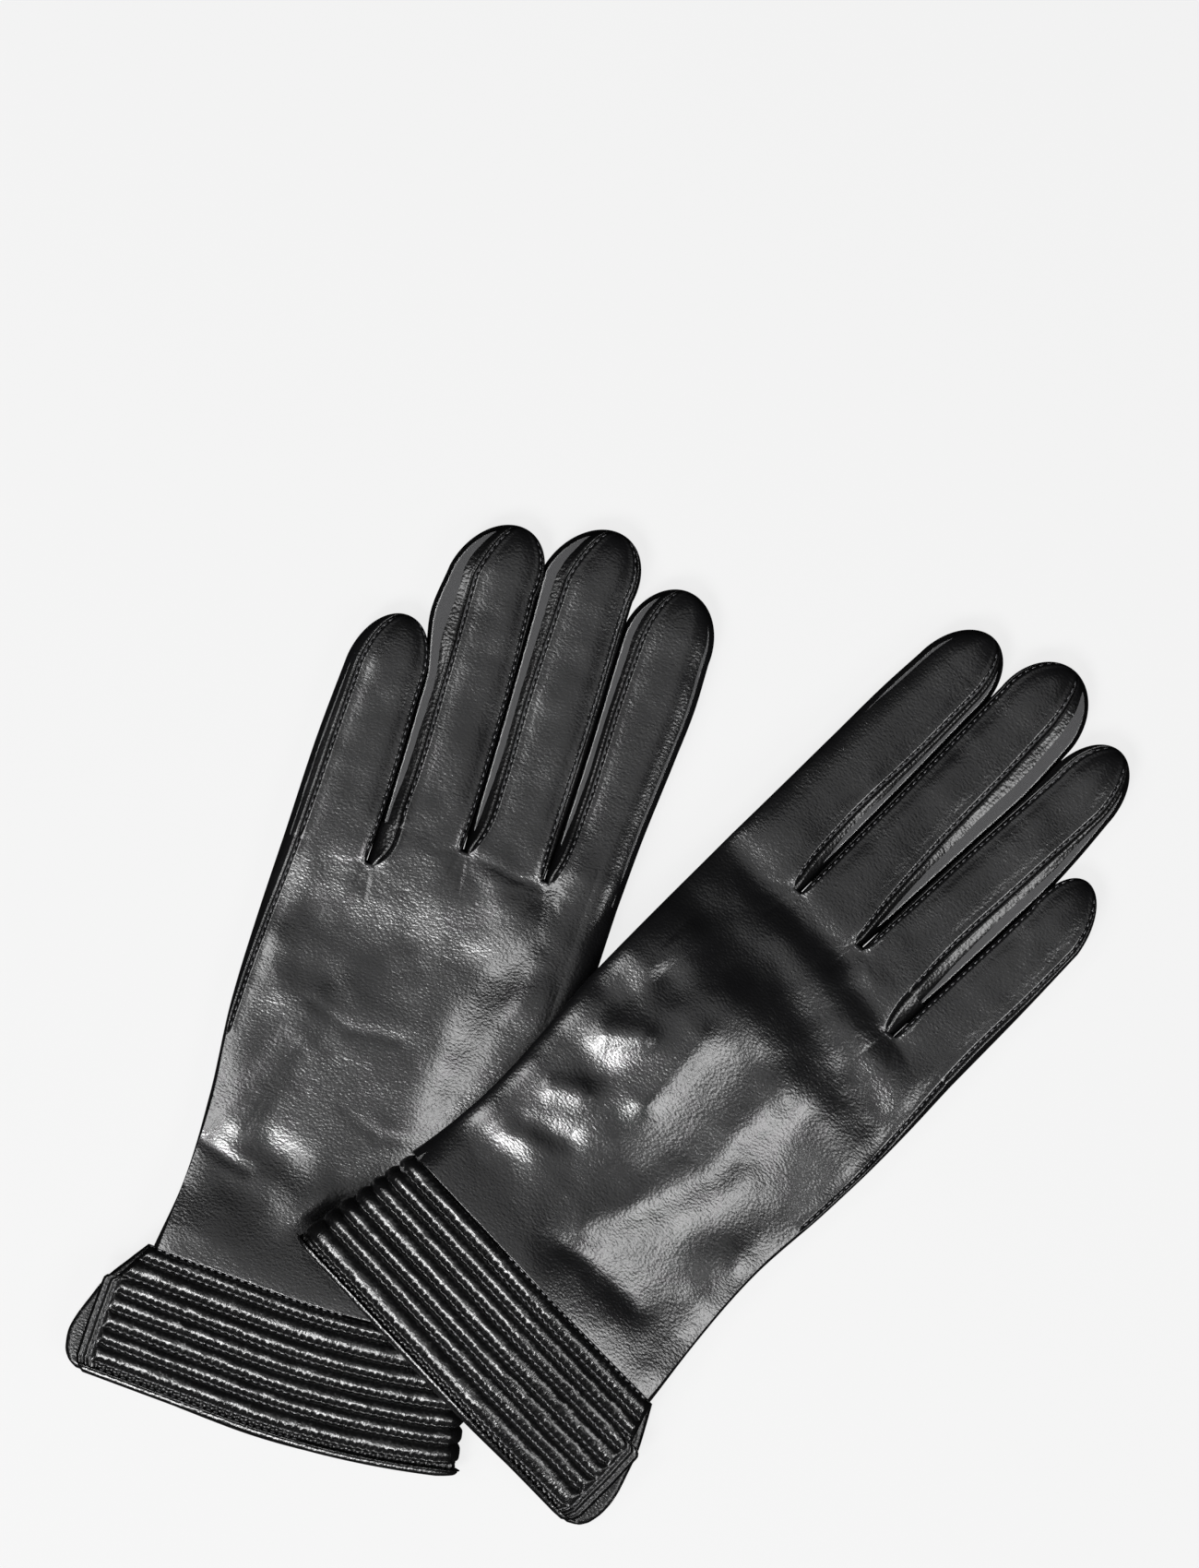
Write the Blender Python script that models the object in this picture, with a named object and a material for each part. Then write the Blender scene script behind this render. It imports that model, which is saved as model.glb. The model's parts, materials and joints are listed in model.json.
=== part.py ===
"""A pair of lined leather dress gloves with quilted cuffs, laid palm down, the right on the left.

Each glove is drawn in its own plan frame, in millimetres: u runs across the hand, from the
little finger (negative) to the thumb side (positive), and v runs along it, from the cuff to
the middle fingertip. An empty carries that frame, so a mesh has x = side * u and y = v. Each
moving piece hangs from an empty on its joint's axis.
"""

import math

import bpy
from mathutils import Matrix, Vector

MM = 0.001

# Layers, from the outside in
LEATHER = 0.7
LINING = 0.45
WADDING = 1.2
FACING = 0.5
LAYER_GAP = 0.3
CUFF_GAP = 0.4  # between the cuff's thicker layers, which bend over the other glove
LINING_INSET = LEATHER + LAYER_GAP
WADDING_INSET = LEATHER + CUFF_GAP
FACING_INSET = WADDING_INSET + WADDING + CUFF_GAP
HEM_THICKNESS = FACING_INSET + FACING

# Outer heights of the flattened tubes
CUFF_HEIGHT = 11.0
PALM_HEIGHT = 8.0
FINGER_HEIGHT = 9.2
THUMB_HEIGHT = 7.0
REST_GAP = 0.3  # over and under a thumb
BED_GAP = 1.2  # between one glove's curved back and the glove that drapes over it
BED_FALL = (-2.0, 38.0)  # how far past the lower glove's edge the draping starts and ends
SEAM_GAP = 0.5  # between two pieces that are sewn edge to edge

# Along the glove
CUFF_SEAM_V = 32.3
PALM_FROM_V = 58.0  # where the hand has thinned from the cuff's height to the palm's
FLAP_TOP_V = 21.5
HEM_DEPTH = 2.0
CUFF_LOW_V = 6.0  # a line of the cuff, from its hem
VENT_TOP = 1.2  # over it the vent's edges close in
HAND_LINES_V = (34.0, 46.0, 58.0, 70.0, 82.0, 105.0)
HOLE_LINE = 3  # the thumb's hole starts at this one of them
LITTLE_CROTCH_V = 146.8
CROTCH_V = 158.4
LITTLE_SHOULDER_V = 199.0  # where the little finger starts to round off beside the ring finger
AFTER_SHOULDER = 14.0  # the ring finger has spread into the room by here
FINGERTIP = 16.0  # length of a fingertip's rounding
TIP_ANGLES = (20, 24, 52, 77)  # round it; the fourchettes end at the first
END_SETBACK = 1.6  # times a layer's inset, that its closed end stands back

# Lines along the glove, at these places across it
EDGE_U = -38.0
HAND_MIDDLE_U = -10.0
CUFF_LINES_U = (-38.0, -15.0, 8.0, 30.0)
CUFF_MIDDLE_FROM_U = -50.0  # the ulnar end of the cuff's even part
RADIAL_FOLD_U = 45.0
WADDING_EDGE_INSET = 1.5
FACING_EDGE_INSET = 0.4

# The thumb lies under the palm and swings about its hole
THUMB_PIVOT = (24.0, 76.0)
THUMB_HALF_WIDTH = 10.0
THUMB_TIP_HALF_WIDTH = 9.0
THUMB_LENGTH = 52.0
THUMB_TURN_AT_REST = 3.0  # degrees, away from the palm
THUMB_HOLE = 6.0  # half the hole's length and width
THUMB_MOUTH_ANGLE = -math.degrees(math.asin(THUMB_HOLE / THUMB_HALF_WIDTH))
THUMB_MOUTH_SHARE = 0.92  # of its flat top
THUMB_BASE_ANGLE = -66
THUMB_TIP_ANGLES = (24, 48, 66)
HUMP_FROM_U = 8.0
HUMP_V = (66.0, 129.0)
HUMP_FALL_V = 165.0  # by here it has lost HUMP_FALL of its height
HUMP_FALL = 0.6
FINGERS_DOWN_V = 230.0  # where the fingers reach the table

# The cuff's lines rise towards the thumb side, evenly on the right glove, in a curve on the left
STEADY_RISE = 0.083
STEADY_RISE_FROM_U = -49.0
CURVED_RISE = 8.0
CURVED_RISE_FROM_U = -12.0
CURVED_RISE_WIDTH = 62.0

# The seams of a finger, as angles up its rounded side
PANEL_ANGLE = 63.0
FOURCHETTE_ANGLE = 52.0

SHARP_ANGLE = 50.0  # edges that turn by more aren't shaded smooth
PAIR_CENTRE = (14.46, 131.755)  # middle of the pair on the table, from the left glove
BLACK_LEATHER = ((0.028, 0.028, 0.030), 0.42)
BLACK_EDGE = ((0.020, 0.020, 0.021), 0.38)
BLACK_KNIT = ((0.018, 0.018, 0.019), 0.85)
GREY_WADDING = ((0.32, 0.32, 0.31), 0.95)


def soft_step(value, start, end):
    t = min(max((value - start) / (end - start), 0.0), 1.0)
    return t * t * (3.0 - 2.0 * t)


def read_off(points, v):
    """The value at v on a line drawn through (v, value) points."""
    if v <= points[0][0]:
        return points[0][1]
    for (v0, value0), (v1, value1) in zip(points, points[1:]):
        if v <= v1:
            return value0 + (value1 - value0) * (v - v0) / (v1 - v0)
    return points[-1][1]


def tube_height(v):
    at_palm = CUFF_HEIGHT + (PALM_HEIGHT - CUFF_HEIGHT) * soft_step(v, CUFF_SEAM_V, PALM_FROM_V)
    return at_palm + (FINGER_HEIGHT - PALM_HEIGHT) * soft_step(v, HUMP_V[1], LITTLE_CROTCH_V)


def thumb_hump(u, v, fade_u):
    """1 over all that the thumb sweeps under the palm, fading around it."""
    across = soft_step(u, fade_u, HUMP_FROM_U)
    before = soft_step(v, CUFF_SEAM_V, HUMP_V[0])
    after = 1.0 - HUMP_FALL * soft_step(v, HUMP_V[1], HUMP_FALL_V)
    return across * before * after


class Glove:
    """One glove's plan frame, outline and height off the table."""

    def __init__(
        self, name, side, origin, heading, hem_v, crotch_u, fade_u, edges, tips, rests_on=None
    ):
        self.name = name
        self.side = side
        self.origin = origin
        self.heading = math.radians(heading)
        self.hem_v = hem_v
        self.crotch_u = crotch_u
        self.fade_u = fade_u  # the hump over the thumb has faded out by here
        self.edges = edges
        self.tips = tips
        self.rests_on = rests_on
        self.thumb_z = 0.0
        if rests_on:
            self.thumb_z = THUMB_HEIGHT + PALM_HEIGHT + 2 * REST_GAP

    def rise(self, u):
        """How much further up the glove the cuff's lines run at u than at the vent."""
        if self.rests_on:
            return STEADY_RISE * max(u - STEADY_RISE_FROM_U, 0.0)
        return CURVED_RISE * (max(u - CURVED_RISE_FROM_U, 0.0) / CURVED_RISE_WIDTH) ** 2

    def to_table(self, u, v):
        turned = Matrix.Rotation(self.heading, 2) @ Vector((self.side * u, v))
        return turned.x + self.origin[0], turned.y + self.origin[1]

    def from_table(self, x, y):
        offset = Vector((x - self.origin[0], y - self.origin[1]))
        turned = Matrix.Rotation(-self.heading, 2) @ offset
        return self.side * turned.x, turned.y

    def bed(self, u, v):
        """The surface that the glove lies on: the table, or the other glove sloping down to it."""
        if not self.rests_on:
            return 0.0
        below = self.rests_on
        below_u, below_v = below.from_table(*self.to_table(u, v))
        edge = read_off(below.edges["radial"], below_v)
        back = below.underside(min(below_u, edge), below_v) + tube_height(below_v) + BED_GAP
        return back * (1.0 - soft_step(below_u, edge + BED_FALL[0], edge + BED_FALL[1]))

    def underside(self, u, v):
        """The height of the glove's lower face; past the knuckles it runs straight to the table."""
        knuckle_v = min(v, CROTCH_V)
        bed = self.bed(u, knuckle_v)
        over_thumb = self.thumb_z + THUMB_HEIGHT + REST_GAP
        height = bed + (over_thumb - bed) * thumb_hump(u, knuckle_v, self.fade_u)
        return height * min(1.0, max(0.0, (FINGERS_DOWN_V - v) / (FINGERS_DOWN_V - CROTCH_V)))


LEFT = Glove(
    "left",
    side=1,
    origin=(0.0, 0.0),
    heading=10.85,
    hem_v=-4.9,
    crotch_u=-26.3,
    fade_u=-30.0,
    edges={
        "ulnar": [(33, -45.8), (50, -44.5), (75, -46), (100, -49.3), (125, -50.8), (147, -51.5)],
        "radial": [(3, 50.3), (33, 44), (45, 41.5), (60, 39.5), (110, 39.5), (158, 37.8)],
        "back_flap": [(-5, -52.5), (-1, -55.0), (21.4, -55.2), (22.6, -51.8), (33, -46.3)],
        "palm_flap": [(-4, -56.5), (3, -59.3), (20, -54.8), (33, -47.0)],
        "little_outer": [(147, -51.5), (175, -52.5), (196, -52.4)],
        "little_ring": [(147, -28.6), (170, -29.6), (190, -31.0), (200, -31.9), (205, -33.5)],
        "ring_outer": [(205, -33.5), (214, -35.6), (228, -35.2)],
        "ring_middle": [(158, -5.7), (200, -8.8), (220, -10.5), (236, -12.0)],
        "middle_index": [(158, 17.0), (180, 16.2), (200, 15.2), (220, 13.9), (236, 13.0)],
        "index_outer": [(158, 37.8), (176, 37.7), (200, 38.4), (214, 38.7), (228, 37.8)],
    },
    tips={"little": (-41, 211.8), "ring": (-21, 244), "middle": (3, 251.5), "index": (26, 243.3)},
)

RIGHT = Glove(
    "right",
    side=-1,
    origin=(28.0, 33.4),
    heading=-10.85,
    hem_v=-6.0,
    crotch_u=-30.6,
    fade_u=-42.0,
    edges={
        "ulnar": [(33, -48.8), (50, -47.5), (75, -47), (100, -49.8), (125, -51.6), (147, -52)],
        "radial": [(3, 50.3), (33, 44), (45, 41), (60, 38.6), (110, 38.2), (158, 35.7)],
        "back_flap": [(-6, -52.5), (-2, -55.4), (20.4, -56.0), (21.6, -52.2), (33, -48.9)],
        "palm_flap": [(-4, -56.5), (3, -59.3), (20, -55.5), (33, -49.4)],
        "little_outer": [(147, -52.0), (175, -53.1), (195, -53.5)],
        "little_ring": [(147, -31.9), (170, -33.9), (190, -35.6), (203, -36.6)],
        "ring_outer": [(203, -36.6), (214, -36.7), (228, -36.2)],
        "ring_middle": [(158, -10.0), (180, -12.0), (200, -14.0), (220, -15.9), (234, -15.9)],
        "middle_index": [(158, 11.8), (180, 10.8), (200, 9.9), (220, 9.2), (236, 8.5)],
        "index_outer": [(158, 35.7), (176, 34.5), (195, 33.3), (215, 32.0), (228, 30.6)],
    },
    tips={"little": (-43, 211.5), "ring": (-26, 242.8), "middle": (-3, 250.5), "index": (19, 242.6)},
    rests_on=LEFT,
)

# Each finger's two edges, and the sides that carry a fourchette
FINGERS = {
    "little": (["little_outer"], ["little_ring"], ["radial"]),
    "ring": (["little_ring", "ring_outer"], ["ring_middle"], ["ulnar", "radial"]),
    "middle": (["ring_middle"], ["middle_index"], ["ulnar", "radial"]),
    "index": (["middle_index"], ["index_outer"], ["ulnar"]),
}


class Station:
    """One cross-section of a flattened tube: its two edges, its height and how far it closes."""

    def __init__(self, v, ulnar, radial, height, squeeze=1.0):
        self.v = v
        self.ulnar = ulnar
        self.radial = radial
        self.height = height
        self.squeeze = squeeze

    def point(self, column, inset):
        """(u, z) of a column on the surface that lies inset under the outer one."""
        part, value = column
        half_height = self.height / 2
        radius = (half_height - inset) * self.squeeze
        middle = (self.ulnar + self.radial) / 2
        flat = ((self.radial - self.ulnar) / 2 - half_height) * self.squeeze
        if part in ("ulnar", "radial"):
            angle = math.radians(value)
            outward = 1 if part == "radial" else -1
            u = middle + outward * (flat + radius * math.cos(angle))
            return u, half_height + radius * math.sin(angle)
        level = half_height + (radius if part.startswith("top") else -radius)
        if part in ("top", "bottom"):
            return middle + flat * value, level
        if part.endswith("_edge"):
            return read_off(value, self.v), level
        return value, level


def closed_columns(ulnar_angles, radial_angles, top, bottom):
    """Columns up the ulnar side, over the top, down the radial side and back underneath."""
    columns = [("ulnar", angle) for angle in ulnar_angles]
    columns += top
    columns += [("radial", angle) for angle in reversed(radial_angles)]
    return columns + bottom


PLAIN_SIDE = (-90, -45, 0, 45, 90)
SEWN_SIDE = (-90, -PANEL_ANGLE, -FOURCHETTE_ANGLE, 0, FOURCHETTE_ANGLE, PANEL_ANGLE, 90)
SEAM_ANGLE = (PANEL_ANGLE + FOURCHETTE_ANGLE) / 2
LINED_SIDE = (-90, -SEAM_ANGLE, 0, SEAM_ANGLE, 90)


def material(name, finish):
    colour, roughness = finish
    made = bpy.data.materials.new(name)
    made.use_nodes = True
    shader = made.node_tree.nodes["Principled BSDF"]
    shader.inputs["Base Color"].default_value = (*colour, 1.0)
    shader.inputs["Roughness"].default_value = roughness
    return made


def add_piece(name, rows, keep, closed, caps, thickness, side, parent, finish):
    """A sheet over a grid of points in the parent's frame, thickened inwards."""
    width = len(rows[0])
    points = [point for row in rows for point in row]
    last = width if closed else width - 1
    faces = []
    for i in range(len(rows) - 1):
        for j in range(last):
            if keep(i, j):
                after = (j + 1) % width
                near, far = i * width, (i + 1) * width
                faces.append((near + j, near + after, far + after, far + j))
    if "start" in caps:
        faces.append(tuple(reversed(range(width))))
    if "end" in caps:
        first = (len(rows) - 1) * width
        faces.append(tuple(range(first, first + width)))
    if side < 0:
        faces = [face[::-1] for face in faces]
    used = sorted({index for face in faces for index in face})
    renumber = {old: new for new, old in enumerate(used)}
    mesh = bpy.data.meshes.new(name)
    vertices = [Vector(points[index]) * MM for index in used]
    mesh.from_pydata(vertices, [], [[renumber[index] for index in face] for face in faces])
    mesh.shade_smooth()
    mesh.set_sharp_from_angle(angle=math.radians(SHARP_ANGLE))
    piece = bpy.data.objects.new(name, mesh)
    bpy.context.collection.objects.link(piece)
    piece.parent = parent
    piece.data.materials.append(material(name, finish))
    solidify = piece.modifiers.new("Thickness", "SOLIDIFY")
    solidify.thickness = thickness * MM
    solidify.offset = -1.0
    solidify.use_even_offset = True
    return piece


def add_empty(name, location, parent=None, turn=0.0):
    empty = bpy.data.objects.new(name, None)
    bpy.context.collection.objects.link(empty)
    empty.empty_display_size = 0.01
    empty.parent = parent
    empty.location = Vector(location) * MM
    empty.rotation_euler = (0.0, 0.0, turn)
    return empty


def lay_out(glove, stations, columns, inset, pivot=(0.0, 0.0, 0.0)):
    """The grid of points of a surface that follows the glove's underside, from a pivot."""
    rows = []
    for station in stations:
        row = []
        for column in columns:
            u, z = station.point(column, inset)
            v = station.v(u) if callable(station.v) else station.v
            z += glove.underside(u, v)
            row.append((glove.side * u - pivot[0], v - pivot[1], z - pivot[2]))
        rows.append(row)
    return rows


def hand_stations(glove, start_gap):
    """Sections from the cuff's top seam to the knuckles."""
    stations = []
    for v in (*HAND_LINES_V, HUMP_V[1], LITTLE_CROTCH_V - SEAM_GAP, CROTCH_V - SEAM_GAP):
        ulnar = read_off(glove.edges["ulnar"], v)
        radial = read_off(glove.edges["radial"], v)
        stations.append(Station(v, ulnar, radial, tube_height(v)))
    stations[0].v = lambda u: CUFF_SEAM_V + start_gap + glove.rise(u)
    return stations


def add_hand(glove, parent):
    """The trank, back and palm in one piece folded at the index side, and its lining."""
    hole_u = (THUMB_PIVOT[0] + THUMB_HOLE, THUMB_PIVOT[0] - THUMB_HOLE)
    ulnar_u = (EDGE_U, glove.crotch_u, HAND_MIDDLE_U, HUMP_FROM_U)
    top = [("top_at", u) for u in (*ulnar_u, THUMB_PIVOT[0])]
    bottom = [("bottom_at", u) for u in (*hole_u, *reversed(ulnar_u))]
    columns = closed_columns(PLAIN_SIDE, PLAIN_SIDE, top, bottom)
    stations = hand_stations(glove, SEAM_GAP)
    crotch_row = len(stations) - 2
    hole_column = columns.index(bottom[0])
    first_kept = columns.index(top[1])
    last_kept = columns.index(bottom[4])

    def keep(i, j):
        if i == HOLE_LINE and j == hole_column:
            return False
        return i < crotch_row or first_kept <= j < last_kept

    for name, inset, thickness, finish in (
        ("trank", 0.0, LEATHER, BLACK_LEATHER),
        ("hand_lining", LINING_INSET, LINING, BLACK_KNIT),
    ):
        rows = lay_out(glove, stations, columns, inset)
        title = f"{glove.name}_{name}"
        add_piece(title, rows, keep, True, (), thickness, glove.side, parent, finish)


def add_cuff(glove, parent):
    """The quilted band, its wadding and facing, open at the vent, and the binding along the hem."""
    hem = glove.hem_v
    band_start = hem + HEM_DEPTH + SEAM_GAP
    band_v = (band_start, hem + CUFF_LOW_V, FLAP_TOP_V, FLAP_TOP_V + VENT_TOP, CUFF_SEAM_V)
    layers = (
        ("cuff_band", 0.0, LEATHER, 0.0, BLACK_LEATHER, band_v),
        ("cuff_wadding", WADDING_INSET, WADDING, WADDING_EDGE_INSET, GREY_WADDING, band_v),
        ("cuff_facing", FACING_INSET, FACING, FACING_EDGE_INSET, BLACK_LEATHER, band_v),
        ("hem_binding", 0.0, HEM_THICKNESS, 0.0, BLACK_EDGE, (hem, hem + HEM_DEPTH)),
    )
    for name, inset, thickness, shift, finish, lines in layers:
        back = [(v, u + shift) for v, u in glove.edges["back_flap"]]
        palm = [(v, u + shift) for v, u in glove.edges["palm_flap"]]
        columns = [("top_edge", back)] + [("top_at", u) for u in CUFF_LINES_U]
        columns += [("radial", angle) for angle in reversed(PLAIN_SIDE)]
        columns += [("bottom_at", u) for u in reversed(CUFF_LINES_U)] + [("bottom_edge", palm)]
        rows = []
        for line in lines:
            radial = read_off(glove.edges["radial"], line + glove.rise(RADIAL_FOLD_U))
            station = Station(line, CUFF_MIDDLE_FROM_U, radial, CUFF_HEIGHT)
            row = []
            for column in columns:
                u, z = station.point(column, inset)
                v = line + glove.rise(u)
                row.append((glove.side * u, v, z + glove.underside(u, v)))
            rows.append(row)
        title = f"{glove.name}_{name}"
        add_piece(title, rows, lambda i, j: True, False, (), thickness, glove.side, parent, finish)


def finger_edge(glove, names, v, inward):
    points = [point for name in names for point in glove.edges[name]]
    return read_off(points, v) + inward * SEAM_GAP / 2


def finger_stations(glove, finger, inset):
    """Sections from the knuckle to the tip, which closes as a quarter of an ellipse."""
    ulnar_lines, radial_lines, _ = FINGERS[finger]
    tip_u, tip_v = glove.tips[finger]
    start = LITTLE_CROTCH_V if finger == "little" else CROTCH_V
    shoulder = tip_v - FINGERTIP
    straight = (start, (start + shoulder) / 2, shoulder)
    if finger == "ring":
        straight = (start, LITTLE_SHOULDER_V, LITTLE_SHOULDER_V + AFTER_SHOULDER, shoulder)
    stations = []
    for v in straight:
        ulnar = finger_edge(glove, ulnar_lines, v, 1)
        radial = finger_edge(glove, radial_lines, v, -1)
        stations.append(Station(v, ulnar, radial, FINGER_HEIGHT))
    last = stations[-1]
    for degrees in TIP_ANGLES:
        angle = math.radians(degrees)
        shift = (tip_u - (last.ulnar + last.radial) / 2) * math.sin(angle)
        v = shoulder + (FINGERTIP - END_SETBACK * inset) * math.sin(angle)
        ends = (last.ulnar + shift, last.radial + shift)
        stations.append(Station(v, *ends, FINGER_HEIGHT, math.cos(angle)))
    return stations


def add_finger(glove, finger, parent):
    """A finger's leather panel, its fourchettes and its lining, hinged on top of the knuckle."""
    _, _, sewn = FINGERS[finger]
    stations = finger_stations(glove, finger, 0.0)
    ulnar_side = SEWN_SIDE if "ulnar" in sewn else PLAIN_SIDE
    radial_side = SEWN_SIDE if "radial" in sewn else PLAIN_SIDE
    columns = closed_columns(ulnar_side, radial_side, [("top", 0.0)], [("bottom", 0.0)])
    ulnar_lining = LINED_SIDE if "ulnar" in sewn else PLAIN_SIDE
    radial_lining = LINED_SIDE if "radial" in sewn else PLAIN_SIDE
    lined = closed_columns(ulnar_lining, radial_lining, [("top", 0.0)], [("bottom", 0.0)])
    base_row = lay_out(glove, stations[:1], columns, 0.0)[0]
    middle_x = (min(point[0] for point in base_row) + max(point[0] for point in base_row)) / 2
    pivot = (middle_x, stations[0].v, max(point[2] for point in base_row))
    knuckle = add_empty(f"{glove.name}_{finger}_knuckle", pivot, parent)
    width = len(columns)
    tip_row = len(stations) - len(TIP_ANGLES)

    def place(j):
        """The sewn side that a cell lies on, if it lies on one, and its two angles."""
        (part, near), (after, far) = columns[j], columns[(j + 1) % width]
        on_side = part if part == after and part in sewn else None
        return on_side, (abs(near), abs(far))

    def in_panel(i, j):
        side, angles = place(j)
        return i > tip_row or side is None or min(angles) >= PANEL_ANGLE

    title = f"{glove.name}_{finger}"
    rows = lay_out(glove, stations, columns, 0.0, pivot)
    add_piece(
        f"{title}_stall", rows, in_panel, True, ("end",),
        LEATHER, glove.side, knuckle, BLACK_LEATHER,
    )
    for sewn_side in sewn:
        def in_fourchette(i, j, sewn_side=sewn_side):
            side, angles = place(j)
            return i < tip_row and side == sewn_side and max(angles) <= FOURCHETTE_ANGLE

        add_piece(
            f"{title}_fourchette_{sewn_side}", rows, in_fourchette, True, (),
            LEATHER, glove.side, knuckle, BLACK_LEATHER,
        )
    inner_stations = finger_stations(glove, finger, LINING_INSET)
    lining = lay_out(glove, inner_stations, lined, LINING_INSET, pivot)
    add_piece(
        f"{title}_lining", lining, lambda i, j: True, True, ("end",),
        LINING, glove.side, knuckle, BLACK_KNIT,
    )


def thumb_stations(inset):
    """Sections from the thumb's rounded base, behind its pivot, to its tip."""
    stations = []
    for degrees in (THUMB_BASE_ANGLE, THUMB_MOUTH_ANGLE):
        angle = math.radians(degrees)
        along = (THUMB_HALF_WIDTH - END_SETBACK * inset) * math.sin(angle)
        stations.append(thumb_section(along, THUMB_HALF_WIDTH, math.cos(angle)))
    tip_start = THUMB_LENGTH - FINGERTIP
    stations.append(thumb_section(THUMB_HOLE, THUMB_HALF_WIDTH))
    stations.append(thumb_section(tip_start, THUMB_TIP_HALF_WIDTH))
    for degrees in THUMB_TIP_ANGLES:
        angle = math.radians(degrees)
        along = tip_start + (FINGERTIP - END_SETBACK * inset) * math.sin(angle)
        stations.append(thumb_section(along, THUMB_TIP_HALF_WIDTH, math.cos(angle)))
    return stations


def thumb_section(along, half_width, squeeze=1.0):
    return Station(along, -half_width, half_width, THUMB_HEIGHT, squeeze)


def add_thumb(glove, parent):
    """The thumb and its lining: a flattened pouch with its mouth on top, under the palm's hole."""
    u, v = THUMB_PIVOT
    turn = -glove.side * math.radians(THUMB_TURN_AT_REST)
    pivot = add_empty(f"{glove.name}_thumb_pivot", (glove.side * u, v, glove.thumb_z), parent, turn)
    top = [("top", -THUMB_MOUTH_SHARE), ("top", THUMB_MOUTH_SHARE)]
    columns = closed_columns(PLAIN_SIDE, PLAIN_SIDE, top, [("bottom", 0.0)])
    mouth = (1, columns.index(top[0]))
    for name, inset, thickness, finish in (
        ("stall", 0.0, LEATHER, BLACK_LEATHER),
        ("lining", LINING_INSET, LINING, BLACK_KNIT),
    ):
        rows = []
        for station in thumb_stations(inset):
            row = [station.point(column, inset) for column in columns]
            rows.append([(glove.side * across, station.v, z) for across, z in row])
        add_piece(
            f"{glove.name}_thumb_{name}", rows, lambda i, j: (i, j) != mouth, True,
            ("start", "end"), thickness, glove.side, pivot, finish,
        )


def add_glove(glove):
    x, y = glove.origin
    centre_x, centre_y = PAIR_CENTRE
    location = (x - centre_x, y - centre_y, 0.0)
    wrist = add_empty(f"{glove.name}_glove", location, turn=glove.heading)
    add_hand(glove, wrist)
    add_cuff(glove, wrist)
    for finger in FINGERS:
        add_finger(glove, finger, wrist)
    add_thumb(glove, wrist)


for leftover in list(bpy.data.objects):
    bpy.data.objects.remove(leftover)
for each in (LEFT, RIGHT):
    add_glove(each)
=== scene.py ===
"""The looks of a pair of lined leather gloves with quilted cuffs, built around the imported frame.

Each glove is drawn in its own plan frame, in millimetres, as the CAD draws it: u runs across the
hand, from the little finger (negative) to the thumb side (positive), v runs along it, from the
cuff to the middle fingertip, and z is up. Every skin is a grid of points in that frame.
"""

import json
import math

import bpy
import numpy as np
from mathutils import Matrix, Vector


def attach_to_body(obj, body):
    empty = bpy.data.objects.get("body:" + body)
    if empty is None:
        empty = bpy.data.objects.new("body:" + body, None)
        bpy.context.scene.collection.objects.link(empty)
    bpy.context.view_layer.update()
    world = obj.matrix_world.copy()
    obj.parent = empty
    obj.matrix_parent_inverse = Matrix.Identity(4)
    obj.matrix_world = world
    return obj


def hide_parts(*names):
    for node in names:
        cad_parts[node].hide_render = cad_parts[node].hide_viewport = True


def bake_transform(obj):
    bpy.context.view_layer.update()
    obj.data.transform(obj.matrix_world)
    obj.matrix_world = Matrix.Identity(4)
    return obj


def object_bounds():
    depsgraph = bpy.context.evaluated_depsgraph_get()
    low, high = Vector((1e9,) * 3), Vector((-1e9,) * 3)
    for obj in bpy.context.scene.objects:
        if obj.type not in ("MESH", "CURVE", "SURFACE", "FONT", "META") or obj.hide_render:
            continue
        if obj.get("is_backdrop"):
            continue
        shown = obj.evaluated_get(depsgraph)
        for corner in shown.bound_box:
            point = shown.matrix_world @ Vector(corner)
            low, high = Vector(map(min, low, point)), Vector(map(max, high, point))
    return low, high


MM = 0.001

# The gloves' heights and lines, as in the CAD
CUFF_HEIGHT = 11.0
PALM_HEIGHT = 8.0
PALM_FROM_V = 58.0  # where the hand has thinned from the cuff's height to the palm's
FINGER_HEIGHT = 9.2
CUFF_SEAM_V = 32.3
FLAP_TOP_V = 21.5
LITTLE_CROTCH_V = 146.8
CROTCH_V = 158.4
FINGERTIP = 16.0  # from a finger's shoulders to its tip
TIP_BLUNTNESS = 0.55  # 1 is a plain ellipse, seen from the side, and less is fuller
FINGERS_DOWN_V = 230.0  # where the fingers have come down to the table
SEAM_GAP = 0.1
THUMB_PIVOT = (24.0, 76.0)
THUMB_HALF_WIDTH = 10.0
THUMB_LENGTH = 52.0
THUMB_TURN = math.radians(3.0)
THUMB_HEIGHT = 4.6  # the thumb lies flatter than its CAD envelope
THUMB_MIDDLE = 18.0  # ahead of its pivot
THUMB_LINING = (0.86, 0.93, 0.7)  # how far its lining fills it across, along and up

# How each glove lies on what is under it
REST_GAP = 0.3  # over and under a thumb
BED_GAP = 0.8  # between the lower glove's back and the glove that drapes over it
BED_FALL = (2.0, 38.0)  # how far past the lower glove's edge the draping starts and ends
THINNEST = 4.2  # the hand, where it lies over something
HUMP_V = (66.0, 129.0)  # where the hand lies over its thumb
HUMP_FALL_V = (121.0, 153.0)
HUMP_FALL = 0.6
HUMP_BACK_U = (1.0, 29.0)  # the back's long slope over the thumb
HUMP_PALM_U = (2.0, 13.0)  # the palm's short one
LIFT_FROM_U = -58.0  # where the upper glove's slope starts
LIFT_ALL_U = (-6.0, 20.0)  # where it ends, at the cuff and further up
LIFT_TURN_V = (15.0, 75.0)

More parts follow.
